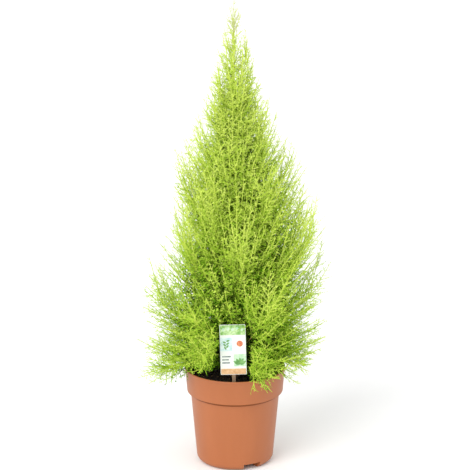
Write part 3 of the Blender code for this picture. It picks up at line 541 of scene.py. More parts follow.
def grained_material(name, colours, scale, stretch, roughness, bump, bump_scale, detail):
    """Colours mixed by stretched noise, with a fine relief."""
    material, tree, shader = new_material(name)
    place_node = tree.nodes.new("ShaderNodeTexCoord")
    mapping = set_inputs(tree.nodes.new("ShaderNodeMapping"), Scale=stretch)
    noise = tree.nodes.new("ShaderNodeTexNoise")
    set_inputs(noise, Scale=scale, Detail=detail, Roughness=GRAIN_MIXING)
    ramp = tree.nodes.new("ShaderNodeValToRGB")
    fine = set_inputs(tree.nodes.new("ShaderNodeTexNoise"), Scale=bump_scale, Detail=RELIEF_DETAIL)
    relief = set_inputs(tree.nodes.new("ShaderNodeBump"), Strength=bump, Distance=RELIEF_DEPTH)
    spread = tree.nodes.new("ShaderNodeMapRange")
    set_inputs(spread, To_Min=roughness[0], To_Max=roughness[1])
    stops = ramp.color_ramp.elements
    while len(stops) < len(colours):
        stops.new(0.5)
    for index, (position, colour) in enumerate(colours):
        stops[index].position = position
        stops[index].color = linear(colour)
    for start, output, end, entry in (
        (place_node, "Object", mapping, "Vector"),
        (mapping, "Vector", noise, "Vector"),
        (noise, "Fac", ramp, "Fac"),
        (ramp, "Color", shader, "Base Color"),
        (mapping, "Vector", fine, "Vector"),
        (fine, "Fac", relief, "Height"),
        (relief, "Normal", shader, "Normal"),
        (fine, "Fac", spread, "Value"),
        (spread, "Result", shader, "Roughness"),
    ):
        tree.links.new(start.outputs[output], end.inputs[entry])
    return material


def named_grain(name):
    """A material of the table of grains."""
    return grained_material(name, *GRAINS[name])


def linked(name, data):
    """A new object in the scene."""
    built = bpy.data.objects.new(name, data)
    bpy.context.scene.collection.objects.link(built)
    return built


def array_mesh(name, materials, vertices, faces, shades=None, smooth=False):
    """A mesh object from arrays; every face has the same number of corners."""
    faces = np.asarray(faces, np.int32)
    corners = faces.shape[1]
    mesh = bpy.data.meshes.new(name)
    mesh.vertices.add(len(vertices))
    mesh.vertices.foreach_set("co", np.asarray(vertices, np.float32).ravel())
    mesh.loops.add(faces.size)
    mesh.loops.foreach_set("vertex_index", faces.ravel())
    mesh.polygons.add(len(faces))
    mesh.polygons.foreach_set("loop_start", np.arange(0, faces.size, corners, dtype=np.int32))
    mesh.polygons.foreach_set("loop_total", np.full(len(faces), corners, np.int32))
    for material in materials:
        mesh.materials.append(material)
    if shades is not None:
        mesh.polygons.foreach_set("material_index", np.asarray(shades, np.int32))
    mesh.polygons.foreach_set("use_smooth", np.full(len(faces), smooth))
    mesh.update(calc_edges=True)
    mesh.validate()
    return linked(name, mesh)


def list_mesh(name, materials, vertices, faces, shades=None, outward=True):
    """A mesh object from lists, its faces turned outward unless they lie flat on the label."""
    mesh = bpy.data.meshes.new(name)
    mesh.from_pydata([tuple(map(float, point)) for point in vertices], [], faces)
    for material in materials:
        mesh.materials.append(material)
    if shades is not None:
        mesh.polygons.foreach_set("material_index", shades)
    if outward:
        shell = bmesh.new()
        shell.from_mesh(mesh)
        bmesh.ops.recalc_face_normals(shell, faces=shell.faces)
        shell.to_mesh(mesh)
        shell.free()
    return linked(name, mesh)


def place(built, slot, *nodes):
    """Put a piece on the plant's body and hide the solids that it stands for; its slot is not used."""
    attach(built, "root")
    if nodes:
        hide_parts(*nodes)


def stack_meshes(parts):
    """Several (vertices, faces, shades) as one."""
    vertices, faces, shades = zip(*parts)
    firsts = np.cumsum([0] + [len(points) for points in vertices[:-1]])
    faces = [corners + first for corners, first in zip(faces, firsts)]
    return np.concatenate(vertices), np.concatenate(faces), np.concatenate(shades)


def circle(sides):
    """Angles of a ring's corners."""
    return [2.0 * math.pi * step / sides for step in range(sides)]


def arc(x, y, radius, angles):
    """Flat points round a centre at the given angles."""
    return [(x + radius * math.cos(angle), y + radius * math.sin(angle)) for angle in angles]


def spokes(first, second, angles):
    """Directions at angles from the first of two directions towards the second."""
    return [first * math.cos(angle) + second * math.sin(angle) for angle in angles]


def tube_faces(rings, sides):
    """Faces with four corners between the rings of a tube."""
    faces = []
    for low in range(0, (rings - 1) * sides, sides):
        for step in range(sides):
            following = low + (step + 1) % sides
            faces.append((low + step, following, following + sides, low + step + sides))
    return np.array(faces)


def repeated_faces(faces, corners, count):
    """The faces of one shape, again for each of many shapes with so many corners."""
    faces = np.array(faces)
    return (faces + (corners * np.arange(count))[:, None, None]).reshape(-1, faces.shape[1])


# The rule of the part's plumes, written again.


def unit(vector):
    """The vector at length one."""
    vector = np.asarray(vector, float)
    return vector / np.linalg.norm(vector)


def unit_rows(vectors):
    """Every row at length one."""
    return vectors / np.maximum(np.linalg.norm(vectors, axis=1, keepdims=True), 1e-9)


def cross_frame(direction):
    """Two steady directions square to a third."""
    direction = unit(direction)
    side = unit(np.cross(direction, STEADY_GUIDE))
    return side, np.cross(direction, side)


def trunk_share(height):
    """How far up the trunk a height is."""
    return (height - SOIL_TOP) / (TRUNK_TIP_HEIGHT - SOIL_TOP)


def trunk_centre(height):
    """Centre of the trunk at a height."""
    share = trunk_share(height)
    x = TRUNK_LEAN * share + TRUNK_BEND_X * math.sin(TRUNK_WAVE_X * share)
    y = TRUNK_BEND_Y * (math.sin(TRUNK_WAVE_Y * share + TRUNK_PHASE_Y) - math.sin(TRUNK_PHASE_Y))
    return np.array((x, y, height))


def trunk_radius(height):
    """Radius of the trunk at a height, widening at its foot."""
    taper = TRUNK_FOOT_RADIUS + (TRUNK_TIP_RADIUS - TRUNK_FOOT_RADIUS) * trunk_share(height)
    return taper + TRUNK_FLARE * math.exp((SOIL_TOP - height) / TRUNK_FLARE_HEIGHT)


def trunk_heights():
    """Heights of the solid trunk's rings."""
    foot = SOIL_TOP + TOUCH_GAP
    shares = [(index / (TRUNK_RINGS - 1)) ** TRUNK_RING_POWER for index in range(TRUNK_RINGS)]
    return [foot + (TRUNK_TIP_HEIGHT - foot) * share for share in shares]


def ring_centre(height):
    """Centre of the solid trunk at a height, straight between its rings."""
    heights = trunk_heights()
    centres = np.array([trunk_centre(ring) for ring in heights])
    return np.array([np.interp(height, heights, centres[:, axis]) for axis in range(3)])


def trunk_gap(points):
    """Distance of the nearest point from the trunk's flat-sided surface."""
    heights = trunk_heights()
    radii = [trunk_radius(height) for height in heights]
    half_side = math.pi / TRUNK_SIDES
    gaps = []
    for point in points:
        away = (point - ring_centre(point[2]))[:2]
        turn = math.atan2(away[1], away[0]) % (2.0 * half_side)
        surface = np.interp(point[2], heights, radii) * math.cos(half_side) / math.cos(turn - half_side)
        gaps.append(np.linalg.norm(away) - surface)
    return min(gaps)


def crown_radius(heights, azimuths):
    """How far the crown reaches at a height, to the left and to the right of the trunk."""
    levels, left, right = np.array(CROWN_PROFILE).T
    to_left = np.interp(heights, levels, left)
    to_right = np.interp(heights, levels, right)
    turn = np.cos(azimuths)
    return to_left * (1.0 - turn) / 2.0 + to_right * (1.0 + turn) / 2.0


def depth_in_crown(points):
    """How far points lie inside the crown's reach, measured level."""
    radius = np.hypot(points[:, 0], points[:, 1])
    return crown_radius(points[:, 2], np.arctan2(points[:, 1], points[:, 0])) - radius


def along(path, share):
    """Point and direction at a share of a line's length."""
    spot = min(max(share, 0.0), 1.0) * (len(path) - 1)
    index = min(int(spot), len(path) - 2)
    part = spot - index
    point = path[index] * (1.0 - part) + path[index + 1] * part
    ahead = path[min(index + 2, len(path) - 1)] - path[max(index - 1, 0)]
    return point, unit(ahead)


def line_along(path, shares):
    """Points at shares of a line's length."""
    return np.array([along(path, share)[0] for share in shares])


def limb_foot(centre, ahead, radius, sides):
    """Points all over a limb's flat foot: its corners, the middles of its edges and its centre."""
    corners = [centre + spoke * radius for spoke in spokes(*cross_frame(ahead), circle(sides))]
    between = [(first + second) / 2.0 for first, second in zip(corners, corners[1:] + corners[:1])]
    return [*corners, *between, centre]


def plume_path(start_height, azimuth, reach, tip_height, arch, on_bough):
    """A bent line from the trunk's surface out and up to the plume's tip."""
    outward = np.array((math.cos(azimuth), math.sin(azimuth), 0.0))
    tip = outward * reach + UP * tip_height
    radius = BOUGH_FOOT_RADIUS if on_bough else STEM_FOOT_RADIUS
    sides = BOUGH_SIDES if on_bough else STEM_SIDES
    second = BOUGH_SHARE / (BOUGH_RINGS - 1) if on_bough else 1.0 / (STEM_RINGS - 1)
    shares = np.linspace(0.0, 1.0, PATH_POINTS)[:, None]
    away = trunk_radius(start_height) + radius
    for _round in range(SEATING_ROUNDS):
        foot = ring_centre(start_height) + outward * away
        middle = (foot + tip) / 2.0 + UP * arch * np.linalg.norm(tip - foot)
        path = (1.0 - shares) ** 2 * foot + 2.0 * shares * (1.0 - shares) * middle + shares ** 2 * tip
        ahead = along(path, second)[0] - path[0]
        away += SEAT_GAP - trunk_gap(limb_foot(foot, ahead, radius, sides))
    return path


def plan_plumes():
    """Lines, widths and names of every plume, tier by tier, and the leader last."""
    plumes = []
    for name, count, foot, tip, arch, first, width, seed in TIERS:
        chance = random.Random(seed)
        spread = TIP_SPREAD.get(name, TIP_SPREAD_ELSEWHERE)
        on_bough = name in BOUGH_TIERS
        for index in range(count):
            turn = chance.uniform(-AZIMUTH_SPREAD, AZIMUTH_SPREAD)
            azimuth = math.radians(first + 360.0 * index / count + turn)
            tip_height = tip + chance.uniform(-spread, spread)
            reach = float(crown_radius(tip_height, azimuth)) * chance.uniform(*REACH_SPREAD)
            start_height = foot + chance.uniform(*FOOT_SPREAD)
            bent = arch + chance.uniform(-ARCH_SPREAD, ARCH_SPREAD)
            path = plume_path(start_height, azimuth, reach, tip_height, bent, on_bough)
            share = BOUGH_SHARE if on_bough else 0.0
            plumes.append({
                "name": f"{name}_{index + 1}", "tier": name, "path": path, "share": share, "width": width,
            })
    foot = trunk_centre(TRUNK_TIP_HEIGHT) + np.array((0.0, 0.0, TOUCH_GAP))
    tip = np.array((foot[0] + LEADER_LEAN, foot[1], CROWN_TOP))
    shares = np.linspace(0.0, 1.0, PATH_POINTS)[:, None]
    path = foot * (1.0 - shares) + tip * shares
    plumes.append({
        "name": "leader", "tier": "leader", "path": path, "share": 0.0, "width": LEADER_HALF_WIDTH,
    })
    return plumes


# Where growth may be.


def nearest(points, starts, ends):
    """Distance from each point to each straight piece, and the share along it."""
    spans = ends - starts
    lengths = np.maximum((spans ** 2).sum(axis=1), 1e-12)
    away = points[:, None, :] - starts
    shares = np.clip((away * spans).sum(axis=2) / lengths, 0.0, 1.0)
    return np.linalg.norm(away - shares[:, :, None] * spans, axis=2), shares


def plume_gaps(points, paths):
    """Distance from each point to each plume's line."""
    return np.stack([nearest(points, path[:-1], path[1:])[0].min(axis=1) for path in paths], axis=1)


class Space:
    """Tells which points keep to their plume's own space, clear of limbs, pot and label."""

    def __init__(self, plumes):
        self.paths = [plume["path"] for plume in plumes]
        heights = trunk_heights()
        limbs = [
            (trunk_centre(low), trunk_centre(high), trunk_radius(low), trunk_radius(high))
            for low, high in zip(heights, heights[1:])
        ]
        radii = np.linspace(BOUGH_FOOT_RADIUS, BOUGH_TIP_RADIUS, BOUGH_RINGS)
        for plume in plumes:
            if plume["share"] > 0.0:
                line = line_along(plume["path"], np.linspace(0.0, plume["share"], BOUGH_RINGS))
                limbs += list(zip(line, line[1:], radii, radii[1:]))
        self.starts, self.ends, self.low_radii, self.high_radii = map(np.array, zip(*limbs))

    def holds(self, owners, points, slack):
        """Which of the points are held; owners and slack are given for each point."""
        held = in_crown(points, slack)
        for first in range(0, len(points), POINTS_AT_ONCE):
            part = slice(first, first + POINTS_AT_ONCE)
            held[part] &= self.clear(points[part])
            held[part] &= self.own(owners[part], points[part])
        return held

    def own(self, owners, points):
        """Which points are nearer to their own plume's line than to any other, or nearly."""
        gaps = plume_gaps(points, self.paths)
        return gaps[np.arange(len(points)), owners] < gaps.min(axis=1) + OVERLAP

    def clear(self, points):
        """Which points are outside the trunk and the boughs."""
        distances, shares = nearest(points, self.starts, self.ends)
        radii = self.low_radii + (self.high_radii - self.low_radii) * shares
        return (distances > radii + LIMB_MARGIN).all(axis=1)


def in_crown(points, slack):
    """Which points are inside the crown's reach and clear of pot and label."""
    x, y, z = points.T
    radius = np.hypot(x, y)
    azimuths = np.arctan2(y, x)
    to_right = (1.0 + np.cos(azimuths)) / 2.0
    wider = np.interp(z, *LEFT_SLACK) * (1.0 - to_right) + np.interp(z, *RIGHT_SLACK) * to_right
    reach = np.minimum(crown_radius(z, azimuths) * wider * slack + CROWN_FRINGE, WIDEST_SPRAY)
    over_pot = (radius < RIM_RADIUS + RIM_MARGIN) & (z < POT_HEIGHT + RIM_MARGIN)
    beside = np.where(z < LABEL_STEM_TOP, LABEL_STEM_SIDE, LABEL_ZONE_SIDE)
    beside = beside + np.clip(SLACK_RANGE[1] - slack, 0.0, LABEL_ROOM_LIMIT) * LABEL_ROOM
    by_label = (np.abs(x - LABEL_X) < beside) & (y < LABEL_ZONE_BACK) & (z < LABEL_ZONE_TOP)
    west, east, south, roof = FRONT_GAP
    in_gap = (x > west) & (x < east) & (y < south) & (z < roof)
    return ~(over_pot | by_label | in_gap | (z > CROWN_TOP) | (z < LOWEST_SPRAY) | (radius > reach))


# Finer growth.


class Axes:
    """Many bent axes: a point is root + line * s + bend * s * s at the share s of its axis.

    Each has its owner plume, its shoot and its place on what bears it.
    """

    def __init__(self, root, line, bend, owner, shoot, place_on_bearer):
        self.root, self.line, self.bend = root, line, bend
        self.owner, self.shoot, self.place = owner, shoot, place_on_bearer
        self.count = len(root)
        self.rows = np.arange(self.count)

    def at(self, shares, rows=slice(None)):
        """Points at shares of the given axes, or of all."""
        shares = np.reshape(shares, (-1, 1))
        return self.root[rows] + self.line[rows] * shares + self.bend[rows] * shares ** 2

    def ahead(self, shares, rows=slice(None)):
        """Directions at shares of the given axes, or of all."""
        return unit_rows(self.line[rows] + 2.0 * self.bend[rows] * np.reshape(shares, (-1, 1)))

    def lengths(self):
        """Rough length of every axis."""
        return np.linalg.norm(self.line + self.bend, axis=1)

    def values(self):
        """All that tells the axes, in the order in which they are made."""
        return self.root, self.line, self.bend, self.owner, self.shoot, self.place

    def keep(self, rows):
        """The chosen axes only."""
        return Axes(*(values[rows] for values in self.values()))

    def shortened(self, shares):
        """Every axis cut at its share."""
        shares = shares[:, None]
        return Axes(self.root, self.line * shares, self.bend * shares ** 2, *self.values()[3:])

    def outer(self, start):
        """The part of every axis beyond a share."""
        line = (self.line + 2.0 * self.bend * start) * (1.0 - start)
        return Axes(self.at(start), line, self.bend * (1.0 - start) ** 2, *self.values()[3:])


def joined(sets):
    """Several sets of axes as one."""
    return Axes(*(np.concatenate(values) for values in zip(*(axes.values() for axes in sets))))


def fitted(axes, space, slack, samples, least):
    """The axes cut where they would leave their space; those left too short are dropped."""
    levels = np.linspace(FIRST_SAMPLE, 1.0, samples)
    rows = np.repeat(axes.rows, samples)
    points = axes.at(np.tile(levels, axes.count), rows)
    held = space.holds(axes.owner[rows], points, slack[rows]).reshape(-1, samples)
    good = np.cumprod(held, axis=1).sum(axis=1)
    shares = np.where(good > 0, levels[np.maximum(good - 1, 0)], 0.0)
    kept = axes.shortened(np.maximum(shares, SHORTEST_SHARE))
    rows = np.flatnonzero((good > 0) & (kept.lengths() > least))
    return kept.keep(rows), rows


def repeated(counts):
    """For so many things on each bearer: the row of each one's bearer and its number there."""
    rows = np.repeat(np.arange(len(counts)), counts)
    return rows, np.arange(len(rows)) - np.repeat(np.cumsum(counts) - counts, counts)


def turned(first, second, angle):
    """Rows at their angles from the first direction towards the second."""
    return first * np.cos(angle)[:, None] + second * np.sin(angle)[:, None]


def frame_rows(ahead, guide):
    """Two directions square to each row, the first one nearest to its guide."""
    first = unit_rows(guide - ahead * (guide * ahead).sum(axis=1, keepdims=True))
    return first, np.cross(ahead, first)


def level_rows(azimuths):
    """Level directions at azimuths."""
    return np.column_stack([np.cos(azimuths), np.sin(azimuths), np.zeros(len(azimuths))])


def outward_rows(points):
    """Directions away from the trunk and a little up."""
    return unit_rows(np.column_stack([unit_rows(points[:, :2]), np.full(len(points), OUTWARD_RISE)]))


def across_rows(axes, draw, spread):
    """For each axis, a direction level with the crown's surface, so that its spray faces out."""
    across = unit_rows(np.cross(outward_rows(axes.at(0.5)), axes.ahead(0.5)))
    return across + draw.normal(0.0, spread, (axes.count, 3))


def grow_shoots(plumes, space, draw):
    """All shoots that have light and keep to their space, and how far each may reach."""
    sets = [grow_plume_shoots(index, plume, draw) for index, plume in enumerate(plumes)]
    shoots = joined([*sets, stem_tips(plumes), grow_trunk_shoots(plumes, draw)])
    slack = draw.uniform(*SLACK_RANGE, shoots.count)
    slack = slack + WISP_REACH * (draw.random(shoots.count) < WISP_SHARE)
    shoots, rows = fitted(shoots, space, slack - TIP_ROOM, SHOOT_SAMPLES, SHOOT_LEAST)
    widths = np.array([plume["width"] for plume in plumes])[shoots.owner]
    chosen = uncrowded(shoots, widths / widths.max(), draw)
    shoots = shoots.keep(chosen)
    shoots.shoot = shoots.rows
    return shoots, slack[rows][chosen]


def grow_plume_shoots(index, plume, draw):
    """Shoots on a plume's stem, each a golden angle on from the last."""
    path = plume["path"]
    tier = plume["tier"]
    reach = np.linalg.norm(np.diff(path, axis=0), axis=1).sum()
    start = max(plume["share"] - SHOOT_OVERLAP, SHOOT_START)
    count = int(reach * (1.0 - start) / SHOOT_SPACING)
    numbers = np.arange(count)
    part = start + (1.0 - start) * (numbers + draw.random(count)) / count
    root, ahead = (np.array(rows) for rows in zip(*(along(path, share) for share in part)))
    inner = (part - start) / (1.0 - start)
    spread = math.radians(TWIG_SPREAD.get(tier, TWIG_SPREAD_ELSEWHERE))
    spread = np.where(part < ALL_ROUND_SHARE, 2.0 * math.pi, spread)
    angle = spread * (((numbers + draw.uniform(0.0, PHASE_RANGE)) * GOLDEN_SHARE) % 1.0 - 0.5)
    guide = unit_rows(np.column_stack([root[:, :2], np.full(count, GUIDE_RISE)]))
    outward = turned(*frame_rows(ahead, guide), angle)
    lean = SHOOT_LOW_ANGLE + (SHOOT_HIGH_ANGLE - SHOOT_LOW_ANGLE) * inner
    lean = lean * draw.uniform(*SHOOT_LEANS, count)
    direction = turned(ahead, outward, lean) + draw.normal(0.0, SHOOT_STRAY, (count, 3))
    lift = SHOOT_LIFT.get(tier, SHOOT_LIFT_ELSEWHERE) * draw.uniform(*SHOOT_LIFTS, count)
    direction = unit_rows(direction + UP * lift[:, None])
    length = half_width(plume, inner) * SHOOT_REACH / np.sin(lean) * draw.uniform(*SHOOT_LENGTHS, count)
    length = np.minimum(length, plume["width"] * SHOOT_LIMIT)[:, None]
    rise = UP * SHOOT_RISE.get(tier, SHOOT_RISE_ELSEWHERE) + ahead * SHOOT_ONWARD
    bend = (rise + draw.normal(0.0, SHOOT_BEND, (count, 3))) * length
    return Axes(root, direction * length, bend, np.full(count, index), numbers, inner)


def half_width(plume, part):
    """Half width of the plume, narrowing to its tip."""
    return plume["width"] * (TAPER_START - part) ** TAPER_POWER


def stem_tips(plumes):
    """The outer part of each plume's stem, which bears sprays like any shoot."""
    lines = []
    for plume in plumes:
        start = STEM_TIP_START.get(plume["tier"], STEM_TIP_START_ELSEWHERE)
        lines.append(line_along(plume["path"], (start, (start + 1.0) / 2.0, 1.0)))
    root, middle, end = np.stack(lines, axis=1)
    bend = 2.0 * ((end - root) - 2.0 * (middle - root))
    numbers = np.arange(len(plumes))
    return Axes(root, end - root - bend, bend, numbers, numbers, np.full(len(plumes), STEM_TIP_PLACE))


def grow_trunk_shoots(plumes, draw):
    """Shoots all the way up the trunk in the room between plumes, each kept to the nearest one."""
    count = TRUNK_SHOOTS
    foot = plumes[0]["path"][0][2]
    heights = foot + (TRUNK_TIP_HEIGHT - foot) * np.linspace(0.0, 1.0, count) ** TRUNK_SHOOT_POWER
    azimuth = 2.0 * math.pi * GOLDEN_SHARE * np.arange(count)
    centre = np.array([trunk_centre(height) for height in heights])
    root = centre + level_rows(azimuth) * np.array([trunk_radius(height) for height in heights])[:, None]
    slope = np.interp(heights, *TRUNK_SHOOT_SLOPES) * draw.uniform(*TRUNK_SHOOT_SPREAD, count)
    azimuth = azimuth + draw.normal(0.0, TRUNK_SHOOT_STRAY, count)
    share = draw.uniform(*TRUNK_SHOOT_REACH, count)
    reach = np.zeros(count)
    for _round in range(REACH_ROUNDS):
        reach = (reach + crown_radius(heights + slope * reach, azimuth) * share) / 2.0
    tip = level_rows(azimuth) * reach[:, None] + UP * (slope * reach)[:, None]
    bend = (UP * TRUNK_SHOOT_RISE + draw.normal(0.0, TRUNK_SHOOT_BEND, (count, 3))) * reach[:, None]
    owner = np.argmin(plume_gaps(root + tip * OWNER_PLACE, [plume["path"] for plume in plumes]), axis=1)
    return Axes(root, tip - bend, bend, owner, np.arange(count), np.full(count, TRUNK_SHOOT_PLACE))


def uncrowded(shoots, scales, draw):
    """Rows of the shoots whose tips have light: no kept tip is nearer than their own distance."""
    tips = shoots.at(1.0)
    deep = np.clip(depth_in_crown(tips) / DEEP, 0.0, 1.0)
    distances = SHOOT_CROWDING + (DEEP_CROWDING - SHOOT_CROWDING) * deep
    distances = distances * np.clip(scales, LEAST_CROWDING, 1.0)
    by_height = np.interp(tips[:, 2], *CROWDING_BY_HEIGHT)
    distances = distances * np.where(tips[:, 2] < POT_HEIGHT, LOW_CROWDING, by_height)
    kept = []
    cells = {}
    around = [(x, y, z) for x in (-1, 0, 1) for y in (-1, 0, 1) for z in (-1, 0, 1)]
    rank = np.select([shoots.place == STEM_TIP_PLACE, shoots.place == TRUNK_SHOOT_PLACE], [0, 1], 2)
    order = draw.permutation(shoots.count)
    for row in order[np.argsort(rank[order], kind="stable")]:
        tip = tips[row]
        cell = tuple((tip // DEEP_CROWDING).astype(int))
        near = [other for step in around for other in cells.get(tuple(np.add(cell, step)), ())]
        if not near or np.linalg.norm(tips[near] - tip, axis=1).min() > distances[row]:
            kept.append(row)
            cells.setdefault(cell, []).append(row)
    return np.sort(np.array(kept))


def side_lengths(reach, shares, kind):
    """Lengths of side axes: longest low on their bearer and short at its tip."""
    low, rate = kind["foot"]
    longest = np.minimum(reach * kind["share"], kind["longest"])
    taper = longest * (kind["end"] - shares) ** kind["power"]
    return taper * np.minimum(1.0, low + rate * shares) + kind["extra"]


def grow_sides(parents, slack, space, draw, kind):
    """Side axes on every parent, to one side and the other in turn."""
    reach = parents.lengths()
    counts = np.maximum((reach * BEARING_LENGTH / kind["spacing"]).astype(int), 1)
    rows, number = repeated(counts)
    count = len(rows)
    shares = BEARING_START + BEARING_EXTENT * (number + draw.random(count) * PLACE_STRAY) / counts[rows]
    ahead = parents.ahead(shares, rows)
    first, second = frame_rows(ahead, across_rows(parents, draw, SPRAY_TURN)[rows])
    outward = turned(first, second, math.pi * (number % 2) + draw.normal(0.0, SPRAY_STRAY, count))
    low, high = kind["leans"]
    lean = np.radians(low + (high - low) * shares) * draw.uniform(*SIDE_LEANS, count)
    length = side_lengths(reach[rows], shares, kind) * draw.uniform(*SIDE_LENGTHS, count)
    line = turned(ahead, outward, lean) * length[:, None]
    bend = (ahead * SIDE_ONWARD + draw.normal(0.0, SIDE_BEND, (count, 3))) * length[:, None]
    sides = Axes(parents.at(shares, rows), line, bend, parents.owner[rows], parents.shoot[rows], shares)
    sides, kept = fitted(sides, space, slack[rows], kind["samples"], kind["least"])
    return sides, slack[rows][kept]


def deal_shades(axes, draw, shoot_tone, darker):
    """Colour of each spray: pale at the crown's surface and top, dark inside and low."""
    middle = axes.at(TONE_PLACE)
    height = middle[:, 2]
    inside = np.clip(depth_in_crown(middle) / TONE_DEPTH, 0.0, TONE_DEPTH_LIMIT)
    hanging = (height < HANGING_TOP) & (middle[:, 1] < HANGING_BACK)
    tone = SURFACE_TONE + darker + DEEP_TONE * inside ** DEEP_TONE_POWER
    tone = tone + np.interp(height, *TONE_BY_HEIGHT) + HANGING_TONE * hanging
    tone = tone + shoot_tone[axes.shoot] + draw.normal(0.0, SPRAY_TONES, axes.count)
    palest = np.interp(height, *PALEST_BY_HEIGHT)
    shades = np.clip(np.round(tone), np.round(palest), len(NEEDLE_COLOURS) - 1).astype(int)
    grey = draw.random(axes.count) < np.interp(height, *GREY_BY_HEIGHT)
    return np.where(grey, len(NEEDLE_COLOURS), shades)


def make_needles(axes, shades, draw, spacing, size):
    """Needles in crossed pairs along every axis, each a folded kite of two faces."""
    counts = 2 * np.maximum((axes.lengths() / spacing).astype(int), 2)
    rows, number = repeated(counts)
    count = len(rows)
    pair = number // 2
    shift = draw.uniform(-NEEDLE_SHIFT, NEEDLE_SHIFT, count)
    shares = np.clip((pair + NEEDLE_FIRST + shift) / (counts[rows] / 2.0), 0.0, 1.0)
    ahead = axes.ahead(shares, rows)
    root = axes.at(shares, rows)
    first, second = frame_rows(ahead, across_rows(axes, draw, NEEDLE_TURN)[rows])
    angle = math.pi * (number % 2) + 0.5 * math.pi * pair + draw.normal(0.0, NEEDLE_STRAY, count)
    outward = turned(first, second, angle)
    lean = np.radians(NEEDLE_LEAN - NEEDLE_LEAN_DROP * shares ** 2) * draw.uniform(*NEEDLE_LEANS, count)
    direction = turned(ahead, outward, lean)
    length = size * draw.uniform(*NEEDLE_LENGTHS, count) * (1.0 - NEEDLE_SHORTENING * shares ** 3)
    guide = outward_rows(root) + draw.normal(0.0, NEEDLE_TILT, (count, 3))
    across = unit_rows(np.cross(direction, guide))
    half = (length * NEEDLE_WIDTH_SHARE / 2.0)[:, None]
    middle = root + direction * (NEEDLE_WIDEST * length)[:, None]
    raised = middle + np.cross(across, direction) * half * NEEDLE_FOLD
    tip = root + direction * length[:, None]
    corners = np.stack([root, raised + across * half, tip, raised - across * half], axis=1)
    faces = repeated_faces(((0, 1, 2), (0, 2, 3)), 4, count)
    return corners.reshape(-1, 3), faces, np.repeat(shades[rows], 2)


def make_twigs(axes, foot, tip, rings, sides):
    """Slim tapering limbs along the axes: vertices and triangles."""
    guide = np.tile(STEADY_GUIDE, (axes.count, 1))
    vertices = []
    for level in np.linspace(0.0, 1.0, rings):
        first, second = frame_rows(axes.ahead(level), guide)
        centre = axes.at(level)
        radius = (foot + (tip - foot) * level)[:, None]
        vertices += [centre + spoke * radius for spoke in spokes(first, second, circle(sides))]
    faces = tube_faces(rings, sides)[:, (0, 1, 2, 0, 2, 3)].reshape(-1, 3)
    return np.stack(vertices, axis=1).reshape(-1, 3), repeated_faces(faces, rings * sides, axes.count)


def make_spikes(axes, radius):
    """Three-sided pointed twigs: vertices and triangles."""
    first, second = frame_rows(axes.ahead(0.0), np.tile(STEADY_GUIDE, (axes.count, 1)))
    corners = [axes.root + spoke * radius for spoke in spokes(first, second, circle(TWIG_SIDES))]
    vertices = np.stack([*corners, axes.at(1.0)], axis=1)
    return vertices.reshape(-1, 3), repeated_faces(((0, 1, 3), (1, 2, 3), (2, 0, 3)), 4, axes.count)


def make_foliage(plumes, space):
    """All shoots, side twigs, twiglets and needles, with a piece of needles for each tier."""
    draw = np.random.default_rng(FOLIAGE_SEED)
    shoots, slack = grow_shoots(plumes, space, draw)
    sides, side_slack = grow_sides(shoots, slack + SIDE_ROOM, space, draw, SIDES)
    near_surface = depth_in_crown(sides.at(1.0)) < DEEP
    bearing = np.flatnonzero((sides.lengths() > TWIGLET_BEARER) & near_surface)
    twiglets, _slack = grow_sides(sides.keep(bearing), side_slack[bearing], space, draw, TWIGLETS)
    shoot_tone = draw.normal(0.0, SHOOT_TONES, shoots.count)
    materials = [plain_material(name, colour) for name, colour in NEEDLE_COLOURS.items()]
    materials.append(plain_material("needles_grey", TIP_GREY))
    sprays = (shoots.outer(NEEDLES_START), sides, twiglets)
    for tier in dict.fromkeys(plume["tier"] for plume in plumes):
        members = [index for index, plume in enumerate(plumes) if plume["tier"] == tier]
        parts = []
        for axes, (spacing, size, darker) in zip(sprays, SPRAY_SETS):
            chosen = axes.keep(np.flatnonzero(np.isin(axes.owner, members)))
            shades = deal_shades(chosen, draw, shoot_tone, darker)
            deep = depth_in_crown(chosen.at(1.0)) > DEEP
            for group, wider in ((~deep, 1.0), (deep, DEEP_SCALE)):
                some = np.flatnonzero(group)
                if len(some):
                    bearers = chosen.keep(some)
                    parts.append(make_needles(bearers, shades[some], draw, spacing * wider, size * wider))
        built = array_mesh(f"needles_{tier}", materials, *stack_meshes(parts))
        place(built, "foliage", *(f"foliage_{plumes[index]['name']}" for index in members))
    make_twig_pieces(shoots, sides, twiglets)


def twig_tones(points, old_depth, green_depth):
    """Place in the row of twig colours: by depth in the crown, and grey at the top."""
    inner = depth_in_crown(points)
    tone = np.where(inner > old_depth, 2, np.where(inner > green_depth, 1, 0))
    return np.where(points[:, 2] > GREY_TWIG_HEIGHT, 3, tone)


def make_twig_pieces(shoots, sides, twiglets):
    """The limbs of the shoots and of their side twigs."""
    materials = [plain_material(*row) for row in TWIG_COLOURS]
    foot = SHOOT_FOOT_RADIUS + shoots.lengths() * SHOOT_THICKENING
    vertices, faces = make_twigs(shoots, foot, SHOOT_TIP_RADIUS, len(SHOOT_PARTS) + 1, TWIG_SIDES)
    rows = np.repeat(shoots.rows, len(SHOOT_PARTS))
    between = shoots.at(np.tile(SHOOT_PARTS, shoots.count), rows)
    tones = np.repeat(twig_tones(between, *SHOOT_TONE_DEPTHS), 2 * TWIG_SIDES)
    place(array_mesh("twigs_of_shoots", materials, vertices, faces, tones, smooth=True), "bark")
    parts = []
    for axes, radius in ((sides, SIDE_RADIUS), (twiglets, TWIGLET_RADIUS)):
        tones = np.repeat(twig_tones(axes.root, *SIDE_TONE_DEPTHS), TWIG_SIDES)
        parts.append((*make_spikes(axes, radius), tones))
    place(array_mesh("twigs_fine", materials, *stack_meshes(parts)), "bark")


# Trunk, boughs and stems.


